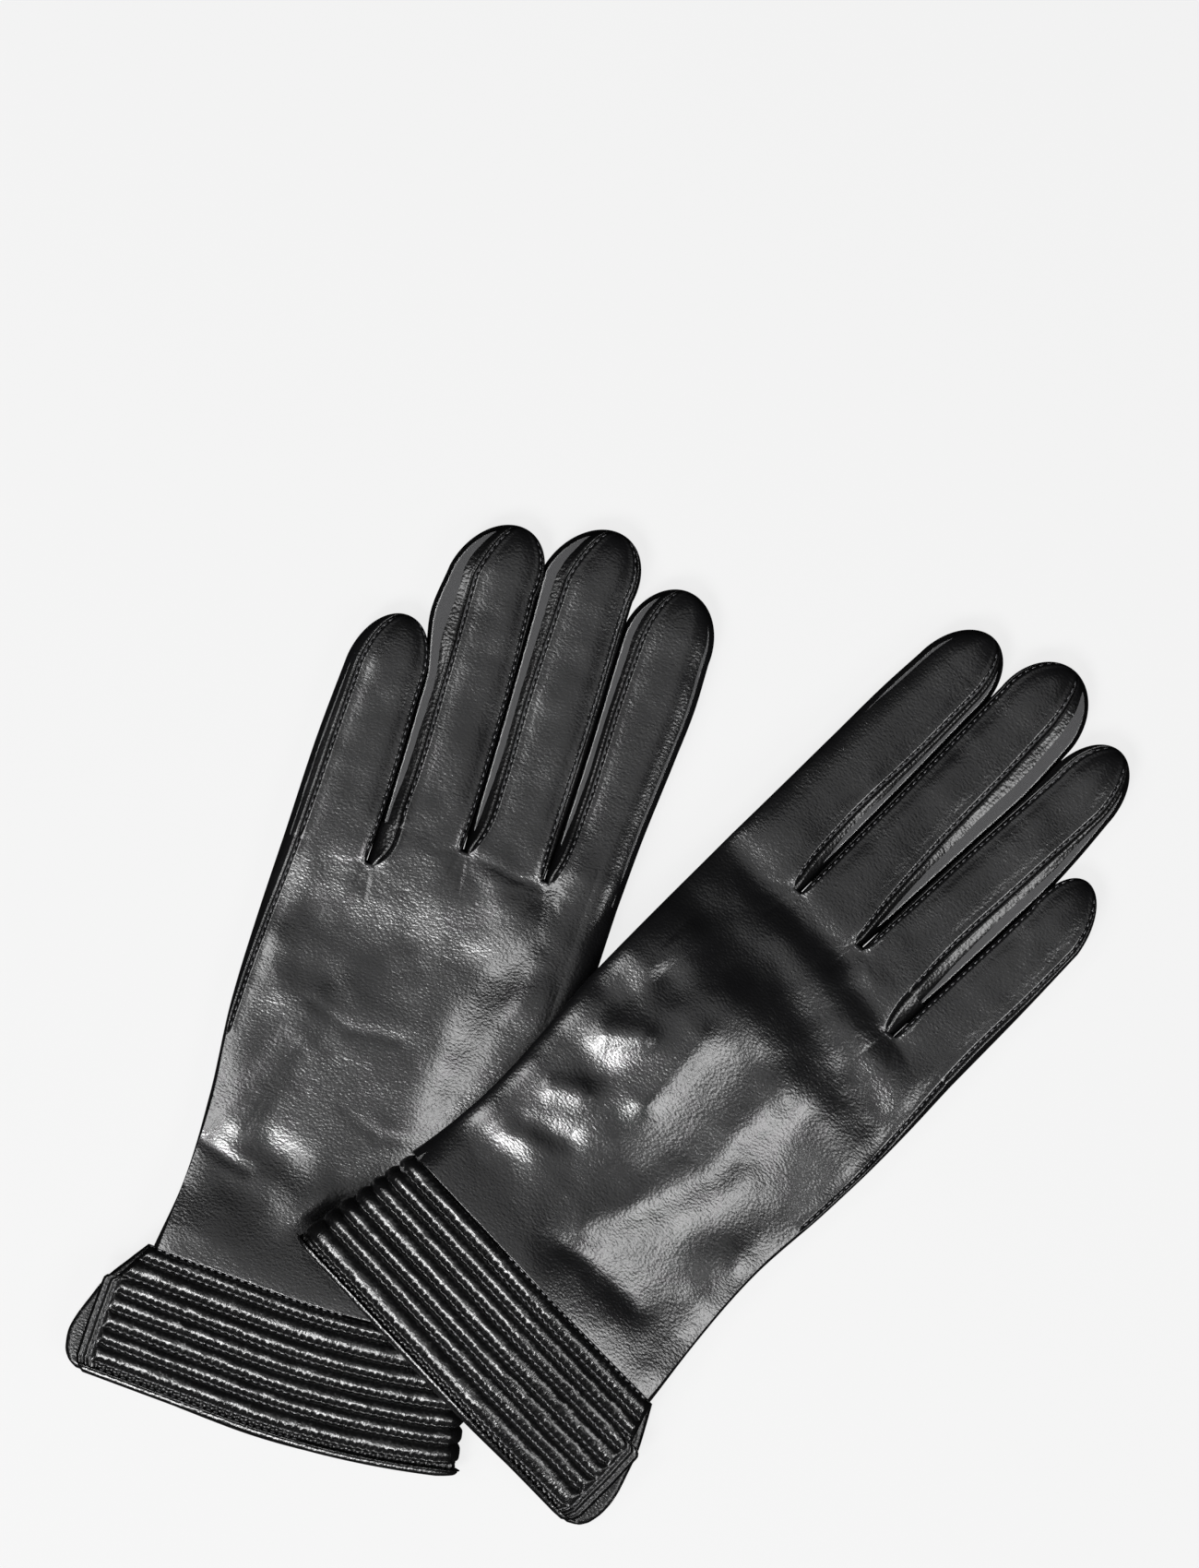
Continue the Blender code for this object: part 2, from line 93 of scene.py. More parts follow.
# The cuff
UPPER_RISE, UPPER_RISE_U = 0.083, -49.0  # the slope of the upper glove's hem, and its start
LOWER_RISE, LOWER_RISE_U = 8.0, (-12.0, 50.0)  # how far the lower glove's hem curves up
EDGE_THICKNESS = 3.0  # of the cuff's turned edges
EDGE_ROLL = 1.2  # how far in from the edge the leather rolls over
CHANNEL = 4.7  # a whole quilted channel
PAD_HEIGHT = 1.9  # of the wadding in it
FLAP_MARGIN = 4.8  # the vent's flat margin
SEAM_MARGIN = 0.4  # of the quilting beside a seam, above the vent
TOPSTITCHING = (1.7, 3.7)  # the two rows in the vent's margin
HEM_PEEK = 0.9  # how far the palm's hem shows past the back's
CUFF_WIDTH = 92.0
CUFF_STEP, CHANNEL_STEP = 0.45, 0.36  # of its grid, across the cuff and along it
CUFF_FOLD = 5.5
FLAP_OFFSETS = np.array([0.0, 0.1, 0.35, 0.75, 1.2, 1.6, 2.0, 2.5, 3.0, 3.5, 4.0, 4.5, 5.0])
PALM_FLAP_OFFSETS = np.array([4.5, 3.0, 1.6, 0.6, 0.1, 0.0])
BEND_COLUMNS = 15  # round the cuff's fold
CUFF_PALM_COLUMNS = 46
MID_CUFF = 60.0  # a distance from the flap's edge at which its margin no longer matters
INNER_COARSENESS = 1.6  # of the sheets inside the cuff

# Seams
STITCH = 2.1  # from one stitch hole to the next
STITCH_LENGTH = 1.4  # what shows of each
THREAD_RADIUS, QUILTING_RADIUS = 0.2, 0.3
TOPSTITCHING_PROUD, QUILTING_PROUD = 0.12, 0.35  # how far the thread is above the leather
FINE = np.array([0.0, 0.07, 0.18, 0.34, 0.55, 0.8, 1.2, 1.8])  # columns beside a seam
STITCHED_COLUMN = 3  # of those, the one that the stitches follow
SEAM_ROLL = (0.9, 1.2)  # the width and depth of the leather's roll into a seam
LIP, LIP_AT, LIP_WIDTH = 0.28, 0.95, 0.45  # how the roll stands proud
SEAM_TUCK = (0.9, 0.12)  # the depth and width of the tuck at the cuff's top seam
OUTSEAM_FROM_V = 92.0  # below this the little finger's side is turned and shows no seam
OUTER_DROP, ULNAR_DROP, RADIAL_DROP = 0.8, 0.9, 1.3  # how far a back falls to its seams
DROP_WIDTH = 6.5
SEAM_START, DROP_START = 2.5, 22.0  # the lengths over which a seam and its drop set in
FOLD_WIDTH = 8.0  # of the index side's rounded fold
FOLD_U = 43.0  # about where that fold is at the cuff
ROUND_BELLY, ULNAR_BELLY, RADIAL_BELLY = 0.5, 0.22, 0.75  # the height of a side's widest point
PALM_TUCK = 2.2  # how far a finger's palm lies inside its radial seam
UNDER_LAP, OVER_LAP = 0.2, 0.35  # how far neighbouring fingers lie into each other
LAP_LENGTH = 12.0  # over which they come together beyond the fork
NARROWEST_SIDE = 0.35
FORK_TURN = ((0, 0), (0.5, 0.12), (1.2, 0.3), (2.5, 0.5), (4.5, 0.6))  # depth, way forward
LINING_INSET = 1.2
LINING_STEP = 3  # the lining takes every third section of its finger

# The leather's relief: (height, size, seed) of its unevenness, and the creases at each fork
RELIEF = ((0.3, 13.0, 3), (0.1, 5.5, 5), (0.02, 2.2, 8))
FORK_RAYS = ((-6, -6), (-2.5, -9), (2.0, -9.5), (6, -7), (8, -3.5), (-8.5, -2.5))
RAY_WIDTH, RAY_HEIGHT = 0.7, -0.09
DIMPLE_WIDTH, DIMPLE_HEIGHT = 3.6, -0.55

# The grids
ROW_STEP = 0.8
CUFF_SEAM_ROWS = np.array([0.0, 0.08, 0.2, 0.4])  # close together beside the cuff's top seam
TOP_COLUMNS = 13  # between the fine columns of a panel
PALM_COLUMNS = 9
FORK_COLUMNS = 5
WALL = np.array([0, 0.03, 0.07, 0.13, 0.2, 0.3, 0.42, 0.55, 0.7, 0.84, 0.94, 0.99, 1.0])
LOW_WALL = np.array([0.97, 0.84, 0.62, 0.33, 0.0])
TIP_TURN, TIP_ROWS = (3.5, 89.4), 30  # the fingertip's rows, in degrees round to its end
WELD = 1e-3  # points nearer than this are one point

# Each finger: its two edges, the seams of its back, and the v at which it starts
FINGERS = {
    "little": ("little_outer", "little_ring", "outseam", "little_radial", LITTLE_CROTCH_V),
    "ring": ("little_ring", "ring_middle", "ring_ulnar", "ring_radial", CROTCH_V),
    "middle": ("ring_middle", "middle_index", "middle_ulnar", "middle_radial", CROTCH_V),
    "index": ("middle_index", "index_outer", "index_ulnar", None, CROTCH_V),
}
# The seams of the back, from the little finger's side; below the forks they run on as grid lines
KEYS = ("outseam", "little_radial", "ring_ulnar", "ring_radial", "middle_ulnar", "middle_radial",
        "index_ulnar")
FORKS = (  # the seams on both sides of each fork, and the fork's v
    ("little_radial", "ring_ulnar", LITTLE_CROTCH_V),
    ("ring_radial", "middle_ulnar", CROTCH_V),
    ("middle_radial", "index_ulnar", CROTCH_V),
)

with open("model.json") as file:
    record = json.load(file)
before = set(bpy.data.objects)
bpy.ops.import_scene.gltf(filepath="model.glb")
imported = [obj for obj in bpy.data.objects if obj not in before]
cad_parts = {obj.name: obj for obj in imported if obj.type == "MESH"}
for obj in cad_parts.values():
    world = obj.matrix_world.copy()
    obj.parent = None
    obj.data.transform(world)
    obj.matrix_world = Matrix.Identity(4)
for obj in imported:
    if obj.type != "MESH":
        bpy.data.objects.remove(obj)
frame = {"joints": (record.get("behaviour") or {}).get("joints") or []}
cad_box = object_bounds()
joints = {joint["name"]: joint for joint in frame["joints"]}


def soft_step(value, start, end):
    """0 before start, 1 after end, and smooth between them."""
    t = np.clip((value - start) / (end - start), 0.0, 1.0)
    return t * t * (3.0 - 2.0 * t)


def ridge(distance, at, width):
    """1 at this distance, and fading out on both sides."""
    return np.exp(-(((distance - at) / width) ** 2))


def smooth_line(points):
    """A function that reads a smooth curve through (v, value) points."""
    at, value = np.array(points, float).T
    slope = np.gradient(value, at)

    def read(v):
        v = np.clip(v, at[0], at[-1])
        i = np.clip(np.searchsorted(at, v, side="right") - 1, 0, len(at) - 2)
        step = at[i + 1] - at[i]
        t = (v - at[i]) / step
        near = value[i] * (1 + 2 * t) * (1 - t) ** 2 + slope[i] * step * t * (1 - t) ** 2
        far = value[i + 1] * t * t * (3 - 2 * t) + slope[i + 1] * step * t * t * (t - 1)
        return near + far

    return read


def straight_line(points):
    """A function that reads straight lines between (v, value) points."""
    at, value = np.array(points, float).T
    return lambda v: np.interp(v, at, value)


def tube_height(v):
    """How thick the flattened glove is along its length."""
    palm = CUFF_HEIGHT + (PALM_HEIGHT - CUFF_HEIGHT) * soft_step(v, CUFF_SEAM_V, PALM_FROM_V)
    return palm + (FINGER_HEIGHT - PALM_HEIGHT) * soft_step(v, HUMP_V[1], LITTLE_CROTCH_V)


# How far the upper glove's thumb side is lifted, along v
LIFT = smooth_line([
    (-6, 12.4), (20, 12.9), (32, 13.6), (60, 14.8), (90, 16.2), (118, 15.4), (129, 12.9),
    (140, 8.6), (150, 6.0), (159, 4.9),
])


def lumps(u, v, size, seed):
    """Smooth seeded noise from -1 to 1, with lumps of about this size."""
    table = np.random.default_rng(seed).uniform(-1, 1, (64, 64))
    x, y = np.asarray(u) / size + 20.0, np.asarray(v) / size + 20.0
    i, j = np.floor(x).astype(int), np.floor(y).astype(int)
    s, t = x - i, y - j
    s, t = s * s * (3 - 2 * s), t * t * (3 - 2 * t)
    corner = [[table[(i + a) % 64, (j + b) % 64] for b in (0, 1)] for a in (0, 1)]
    near = corner[0][0] * (1 - t) + corner[0][1] * t
    far = corner[1][0] * (1 - t) + corner[1][1] * t
    return near * (1 - s) + far * s


def fold(u, v, points, width, height):
    """A ridge, or a valley where height is negative, along a line of (u, v) points."""
    nearest = np.full(np.shape(u), 1e9)
    for (u0, v0), (u1, v1) in zip(points, points[1:]):
        du, dv = u1 - u0, v1 - v0
        t = np.clip(((u - u0) * du + (v - v0) * dv) / max(du * du + dv * dv, 1e-9), 0.0, 1.0)
        nearest = np.minimum(nearest, np.hypot(u - u0 - t * du, v - v0 - t * dv))
    return height * ridge(nearest, 0.0, width)


class Glove:
    """One glove's plan frame, outline, seams and height off the table.

    edges and seams are lines along v, tips the fingertips, lines the v of the cuff's quilting
    from its top seam to its binding, and folds the (points, width, height) of the soft folds.
    """

    def __init__(self, name, side, hem_v, edges, seams, tips, lines, folds, rests_on=None):
        self.name = name
        self.side = side
        self.hem_v = hem_v
        self.edges = {key: smooth_line(points) for key, points in edges.items()}
        self.edges["back_flap"] = straight_line(edges["back_flap"])
        self.seams = {key: smooth_line(points) for key, points in seams.items()}
        self.tips = tips
        self.lines = lines
        self.folds = folds
        self.rests_on = rests_on
        self.cover = None  # a function that is 0 under another glove
        self.thumb_z = THUMB_HEIGHT + PALM_HEIGHT + 3 * REST_GAP if rests_on else 0.0
        across = joints[f"{name}_index_knuckle"]["axis"]
        self.across = np.array(across[:2]) / math.hypot(*across[:2])
        self.along = np.array([-self.across[1], self.across[0]])
        thumb = np.array(joints[f"{name}_thumb_swing"]["pos_m"][:2]) / MM
        reach = self.across * side * THUMB_PIVOT[0] + self.along * THUMB_PIVOT[1]
        self.origin = thumb - reach

    def to_row(self, points):
        """Points (..., 3) of the plan frame, as metres in the row frame."""
        u, v = self.side * points[..., 0:1], points[..., 1:2]
        flat = self.origin + u * self.across + v * self.along
        return np.concatenate([flat, points[..., 2:3]], axis=-1) * MM

    def from_row(self, x, y):
        """The (u, v) of a place in the row frame, in millimetres."""
        dx, dy = x - self.origin[0], y - self.origin[1]
        u = self.side * (dx * self.across[0] + dy * self.across[1])
        return u, dx * self.along[0] + dy * self.along[1]

    def rise(self, u):
        """How far the cuff's lines, which start level, have risen along v at this u."""
        if self.rests_on:
            return UPPER_RISE * np.maximum(u - UPPER_RISE_U, 0.0)
        start, end = LOWER_RISE_U
        return LOWER_RISE * (np.maximum(u - start, 0.0) / (end - start)) ** 2

    def bed(self, u, v):
        """How high the glove that lies below reaches here."""
        if not self.rests_on:
            return np.zeros(np.shape(u))
        below = self.rests_on
        row = self.origin[:, None] + self.side * np.ravel(u) * self.across[:, None]
        row = row + np.ravel(v) * self.along[:, None]
        below_u, below_v = below.from_row(row[0], row[1])
        edge = below.edges["radial"](below_v)
        inner_u = np.minimum(below_u, edge)
        back = below.lift(inner_u, below_v) + tube_height(below_v) + BED_GAP
        bed = back * (1.0 - soft_step(below_u, edge + BED_FALL[0], edge + BED_FALL[1]))
        return bed.reshape(np.shape(u))

    def hump(self, u, v, start, end):
        """1 over the thumb and 0 away from it."""
        hump = soft_step(u, start, end) * soft_step(v, CUFF_SEAM_V, HUMP_V[0])
        return hump * (1.0 - HUMP_FALL * soft_step(v, *HUMP_FALL_V))

    def warp(self, u, v):
        """How far the hand's rows are moved on, so that the first follows the cuff's top seam."""
        share = np.clip((LITTLE_CROTCH_V - v) / (LITTLE_CROTCH_V - CUFF_SEAM_V), 0.0, 1.0)
        return self.rise(u) * share**3

    def down(self, v):
        """1 up to the forks, and falling to 0 as the fingers come down to the table."""
        return np.clip((FINGERS_DOWN_V - v) / (FINGERS_DOWN_V - CROTCH_V), 0.0, 1.0)

    def lift(self, u, v):
        """How far the back stands above its height on the bare table: a soft, even slope."""
        u, v = np.broadcast_arrays(np.asarray(u, float), np.asarray(v, float))
        knuckle_v = np.minimum(v, CROTCH_V)
        if self.rests_on:
            at_cuff, beyond = LIFT_ALL_U
            lifted_u = at_cuff + (beyond - at_cuff) * soft_step(knuckle_v, *LIFT_TURN_V)
            return LIFT(knuckle_v) * soft_step(u, LIFT_FROM_U, lifted_u) * self.down(v)
        return (THUMB_HEIGHT + REST_GAP) * self.hump(u, knuckle_v, *HUMP_BACK_U) * self.down(v)

    def underside(self, u, v):
        """The height of the lower face, which never comes nearer the back than THINNEST."""
        u, v = np.broadcast_arrays(np.asarray(u, float), np.asarray(v, float))
        knuckle_v = np.minimum(v, CROTCH_V)
        bed = self.bed(u, knuckle_v)
        over_thumb = self.thumb_z + THUMB_HEIGHT + REST_GAP
        height = bed + (over_thumb - bed) * self.hump(u, knuckle_v, *HUMP_PALM_U)
        return np.minimum(height * self.down(v), self.lift(u, v) + tube_height(v) - THINNEST)

    def relief(self, u, v):
        """The soft folds of the back of the hand, and the leather's own unevenness."""
        total = sum(height * lumps(u, v, size, seed) for height, size, seed in RELIEF)
        for points, width, height in self.folds:
            total = total + fold(u, v, points, width, height)
        for fork_u, fork_v in self.forks():
            for du, dv in FORK_RAYS:
                ray = [(fork_u + 0.25 * du, fork_v + 0.15 * dv), (fork_u + du, fork_v + dv)]
                total = total + fold(u, v, ray, RAY_WIDTH, RAY_HEIGHT)
            below = [(fork_u, fork_v - 1.5), (fork_u, fork_v - 4)]
            total = total + fold(u, v, below, DIMPLE_WIDTH, DIMPLE_HEIGHT)
        at_cuff = soft_step(v, CUFF_SEAM_V + self.rise(u) - 1.0, CUFF_SEAM_V + self.rise(u) + 9.0)
        return total * at_cuff * self.uncovered(u, v)

    def uncovered(self, u, v):
        """0 where another glove lies on this one, so that nothing pokes through it."""
        return self.cover(u, v) if self.cover else 1.0

    def forks(self):
        """The (u, v) of the end of each slit between two fingers."""
        for left, right, v in FORKS:
            yield (self.seams[left](v) + self.seams[right](v)) / 2, v


LEFT = Glove(
    "left",
    side=1,
    hem_v=-4.9,
    edges={
        "ulnar": [(33, -45.8), (50, -44.5), (75, -46), (100, -49.3), (125, -50.8), (147, -51.5)],
        "radial": [(3, 50.3), (33, 44), (45, 41.5), (60, 39.5), (110, 39.5), (158, 37.8)],
        "back_flap": [(-5, -51.6), (-4.2, -52.9), (-3, -54.1), (-1, -55.0), (10, -55.3),
                      (20.6, -55.3), (21.6, -54.6), (22.4, -51.8), (33, -46.3)],
        "palm_flap": [(-5, -54.0), (-4, -56.0), (-2, -57.9), (1, -59.0), (4, -59.4), (8, -58.8),
                      (14, -57.0), (20, -55.0), (27, -50.8), (33, -47.0)],
        "little_outer": [(147, -51.5), (175, -52.5), (196, -52.4)],
        "little_ring": [(147, -28.6), (170, -29.6), (190, -31.0), (200, -31.9), (206, -33.6),
                        (214, -35.6), (228, -35.2)],
        "ring_middle": [(158, -5.7), (200, -8.8), (220, -10.5), (236, -12.0)],
        "middle_index": [(158, 17.0), (180, 16.2), (200, 15.2), (220, 13.9), (236, 13.0)],
        "index_outer": [(158, 37.8), (176, 37.7), (200, 38.4), (214, 38.7), (228, 37.8)],
    },
    seams={
        "outseam": [(34, -44.2), (80, -45.4), (90, -47.0), (105, -47.8), (150, -47.6), (180, -48.3),
                    (200, -48.7)],
        "little_radial": [(146.8, -28.9), (160, -28.7), (180, -29.9), (200, -31.7)],
        "ring_ulnar": [(146.8, -26.2), (150, -24.4), (165, -24.0), (200, -25.8), (228, -28.0)],
        "ring_radial": [(158.4, -6.6), (170, -6.7), (200, -8.8), (228, -11.9)],
        "middle_ulnar": [(158.4, -3.9), (165, -2.0), (180, -2.0), (200, -3.5), (236, -4.9)],
        "middle_radial": [(158.4, 16.2), (170, 15.3), (200, 14.0), (236, 11.7)],
        "index_ulnar": [(158.4, 18.8), (165, 20.3), (180, 20.7), (210, 19.3), (228, 19.0)],
    },
    tips={"little": (-41, 211.8), "ring": (-21, 244), "middle": (3, 251.5), "index": (26, 243.3)},
    lines=(32.3, 28.2, 22.8, 18.0, 13.3, 8.5, 4.0, -1.0, -2.6),
    folds=(
        ([(23, 130), (15, 96)], 7.0, 0.9),
        ([(6, 154), (9, 150)], 5.0, 0.7),
        ([(24, 140), (26, 162)], 5.0, 0.8),
        ([(0, 158.0), (9, 156.6), (17, 156.5)], 1.3, -0.25),
        ([(-38, 72), (-34, 84), (-30, 97)], 4.6, 0.75),
        ([(-27, 104), (-20, 112)], 6.0, 0.6),
        ([(-35, 70), (-33, 80)], 3.0, 0.3),
        ([(-26, 67), (-22, 66)], 6.0, -1.3),
        ([(-43, 63.5), (-36, 61), (-30, 60)], 2.0, -0.55),
        ([(-13, 55), (-8, 57)], 7.0, 1.2),
        ([(-33, 48), (-36, 40)], 5.0, 0.6),
        ([(-30, 108), (-18, 104), (-4, 106)], 1.6, -0.16),
        ([(-12, 84), (0, 80), (12, 82)], 1.8, -0.14),
        ([(-36, 142), (-38, 130)], 5.0, -0.5),
        ([(-42, 118), (-38, 108)], 4.5, 0.5),
    ),
)

RIGHT = Glove(
    "right",
    side=-1,
    hem_v=-6.0,
    edges={
        "ulnar": [(33, -48.8), (50, -47.5), (75, -47), (100, -49.8), (125, -51.6), (147, -52)],
        "radial": [(3, 50.3), (33, 44), (45, 41), (60, 38.6), (110, 38.2), (158, 35.7)],
        "back_flap": [(-6, -51.8), (-5.2, -53.2), (-4, -54.5), (-2, -55.4), (10, -56.0),
                      (19.6, -56.1), (20.6, -55.4), (21.4, -52.2), (33, -48.9)],
        "palm_flap": [(-6, -54.0), (-5, -56.0), (-3, -57.9), (0, -59.0), (4, -59.4), (8, -59.0),
                      (14, -57.4), (20, -55.6), (27, -52.4), (33, -49.4)],
        "little_outer": [(147, -52.0), (175, -53.1), (195, -53.5)],
        "little_ring": [(147, -31.9), (170, -33.9), (190, -35.6), (203, -36.6), (214, -36.7),
                        (228, -36.2)],
        "ring_middle": [(158, -10.0), (180, -12.0), (200, -14.0), (220, -15.9), (234, -15.9)],
        "middle_index": [(158, 11.8), (180, 10.8), (200, 9.9), (220, 9.2), (236, 8.5)],
        "index_outer": [(158, 35.7), (176, 34.5), (195, 33.3), (215, 32.0), (228, 30.6)],
    },
    seams={
        "outseam": [(34, -47.4), (80, -46.4), (95, -48.2), (110, -49.6), (160, -49.9), (180, -51.4),
                    (198, -52.2)],
        "little_radial": [(146.8, -31.7), (160, -32.6), (180, -34.3), (200, -36.1)],
        "ring_ulnar": [(146.8, -29.0), (150, -28.0), (165, -27.2), (200, -30.0), (228, -32.9)],
        "ring_radial": [(158.4, -10.5), (170, -11.8), (200, -14.8), (228, -18.1)],
        "middle_ulnar": [(158.4, -7.6), (170, -6.8), (190, -6.5), (220, -7.4), (236, -7.6)],
        "middle_radial": [(158.4, 11.5), (170, 10.8), (200, 9.3), (236, 8.0)],
        "index_ulnar": [(158.4, 14.2), (165, 15.3), (180, 15.6), (210, 13.5), (228, 12.7)],
    },
    tips={
        "little": (-43, 211.5), "ring": (-26, 242.8), "middle": (-3, 250.5), "index": (19, 242.6),
    },
    lines=(32.2, 27.3, 22.6, 18.0, 12.8, 8.0, 3.3, -2.7, -4.6),
    folds=(
        ([(-49, 134), (-31, 140), (-12, 143), (6, 147)], 6.0, 1.1),
        ([(-47, 113), (-27, 118), (-12, 123), (5, 125)], 8.5, 1.7),
        ([(-19, 114), (-19, 86), (-14, 75), (-9, 65), (-4, 55)], 7.0, 1.3),
        ([(-41, 73), (-38, 70)], 7.5, 1.2),
        ([(-40, 92), (-34, 90)], 9.0, -0.9),
        ([(5.5, 90), (6, 112)], 5.0, 1.1),
        ([(18, 102), (25, 97)], 4.5, 1.3),
        ([(20, 117), (22, 118)], 5.0, -0.9),
        ([(28, 108), (29, 106)], 4.5, -0.9),
        ([(19, 88), (21, 87)], 4.5, -0.9),
        ([(20, 80), (26, 76)], 3.5, 0.8),
        ([(26, 131), (29, 118)], 4.0, 0.9),
        ([(24, 60), (27, 58)], 6.0, 1.0),
        ([(14, 68), (25, 63)], 3.5, -0.7),
        ([(-6, 153), (12, 153), (32, 155)], 4.5, -0.8),
        ([(-34, 146), (-16, 149)], 4.0, -0.6),
        ([(-30, 48), (-5, 47)], 4.0, -0.6),
    ),
    rests_on=LEFT,
)


def covered_by_right(u, v):
    """How bare the left glove is: 0 where the right one lies on it, 1 away from it."""
    row = LEFT.to_row(np.stack([u, v, np.zeros(np.shape(u))], axis=-1)) / MM
    over_u, over_v = RIGHT.from_row(row[..., 0], row[..., 1])
    inside = soft_step(RIGHT.edges["radial"](over_v) + 4.0 - over_u, 0.0, 6.0)
    return 1.0 - inside * soft_step(over_v, RIGHT.hem_v - 6.0, RIGHT.hem_v)


LEFT.cover = covered_by_right


def crotch_of(key):
    """The v of the fork at which a seam starts."""
    return LITTLE_CROTCH_V if key in ("outseam", "little_radial", "ring_ulnar") else CROTCH_V


def key_line(glove, key, v):
    """A seam's u at v; below its fork it runs on down the hand as a line of the grid."""
    start = crotch_of(key)
    if key == "outseam":
        return glove.seams[key](v)
    left, right = glove.edges["ulnar"], glove.edges["radial"]
    share = (glove.seams[key](start) - left(start)) / (right(start) - left(start))
    down = left(v) + (right(v) - left(v)) * share
    return np.where(v < start, down, glove.seams[key](v))


def panel_places(width, count):
    """Distances (rows, columns) from a panel's left edge, closer together beside its seams."""
    width = np.asarray(width, float)[:, None]
    shrink = np.minimum(1.0, width / (2 * FINE[-1] + 2.0))
    near, far = FINE * shrink, width - FINE[::-1] * shrink
    share = np.linspace(0, 1, count + 2)[1:-1]
    middle = near[:, -1:] + (far[:, :1] - near[:, -1:]) * share
    return np.concatenate([near, middle, far], axis=1)


def groove(distance):
    """The relief beside a seam: the leather rolls over and goes down into the stitches."""
    width, depth = SEAM_ROLL
    roll = 1.0 - np.clip(distance / width, 0.0, 1.0)
    return LIP * ridge(distance, LIP_AT, LIP_WIDTH) - depth * (1.0 - np.sqrt(1.0 - roll**2))


def edge_drop(distance, depth):
    """How far a back falls towards its edge."""
    return depth * (1.0 - np.clip(distance / DROP_WIDTH, 0.0, 1.0)) ** 2


class Section:
    """The cross-sections, row by row, of the hand or of one finger."""

    def __init__(self, glove, v, left, right, seam_left, seam_right, sewn_from, squeeze=None):
        self.glove = glove
        self.v = v
        self.left = left
        self.right = right
        self.seam_left = seam_left
        self.seam_right = seam_right
        self.open = soft_step(v, sewn_from, sewn_from + SEAM_START)
        self.spread = soft_step(v, sewn_from, sewn_from + DROP_START)
        self.squeeze = np.ones(len(v)) if squeeze is None else squeeze
        self.outer_left = False
        self.outer_right = False
        self.bellies = (ROUND_BELLY, ROUND_BELLY)
        self.tuck = 0.0

    def top(self, u, v):
        """The height of the back at u, before its seams' grooves."""
        v = np.broadcast_to(v, np.shape(u))
        column = (slice(None), None)
        spread = self.spread[column]
        depth_left = OUTER_DROP if self.outer_left else ULNAR_DROP * spread
        depth_right = 0.0 if self.outer_right else RADIAL_DROP * spread
        drop = edge_drop(u - self.seam_left[column], depth_left)
        drop = drop + edge_drop(self.seam_right[column] - u, depth_right)
        back = self.glove.lift(u, v) + tube_height(v) + self.glove.relief(u, v) - drop
        middle = self.middle(u, v)
        return middle + (back - middle) * self.squeeze[column]

    def middle(self, u, v):
        """Half way up, where a fingertip closes."""
        return (self.glove.lift(u, v) + tube_height(v) + self.glove.underside(u, v)) / 2

    def bottom(self, u, v):
        """The height of the palm side."""
        v = np.broadcast_to(v, np.shape(u))
        middle = self.middle(u, v)
        return middle - (middle - self.glove.underside(u, v)) * self.squeeze[:, None]

    def back(self, left, right, count, grooves):
        """Part of the back between two lines, with a groove at each line that is sewn."""
        places = panel_places(right - left, count)
        u = left[:, None] + places
        v = np.broadcast_to(self.v[:, None], u.shape)
        z = self.top(u, v)
        sewn = (self.open * np.sqrt(self.squeeze))[:, None]
        if grooves[0]:
            z = z + groove(places) * sewn
        if grooves[1]:
            z = z + groove((right - left)[:, None] - places) * sewn
        return np.stack([u, v, z], axis=-1)

    def palm(self, left, right, count):
        """Part of the palm side, from right to left."""
        share = np.linspace(1, 0, count)
        u = left[:, None] + (right - left)[:, None] * share
        v = np.broadcast_to(self.v[:, None], u.shape)
        return np.stack([u, v, self.bottom(u, v)], axis=-1)

    def wall(self, side, grooves=True):
        """The rounded side between the back's seam and the palm, in the ring's direction."""
        left = side == "left"
        seam = self.seam_left if left else self.seam_right
        edge = self.left if left else self.right
        belly = self.bellies[0] if left else self.bellies[1]
        reach = np.concatenate([WALL, LOW_WALL])
        rise = np.sqrt(1.0 - reach**2)
        inner = np.repeat(seam[:, None], len(reach), axis=1)
        inner[:, len(WALL):] -= 0.0 if left else self.palm_tuck()[:, None]
        u = inner + (edge[:, None] - inner) * reach
        v = np.broadcast_to(self.v[:, None], u.shape)
        low, high = self.bottom(u, v), self.top(seam[:, None], self.v[:, None])
        widest = low + (high - low) * belly
        upper = np.arange(len(reach)) < len(WALL)
        z = widest + np.where(upper, high - widest, low - widest) * rise
        if grooves:
            distance = np.abs(edge - seam)[:, None] * reach
            sewn = (self.open * np.sqrt(self.squeeze))[:, None]
            z = z + np.where(upper, groove(distance) * sewn, 0.0)
        points = np.stack([u, v, z], axis=-1)
        return points[:, ::-1] if left else points

    def palm_tuck(self):
        """How far the palm's corner lies inside a sewn side, so that the next finger fits under."""
        start = self.v[0]
        return self.tuck * soft_step(self.v, start, start + LAP_LENGTH) * self.squeeze


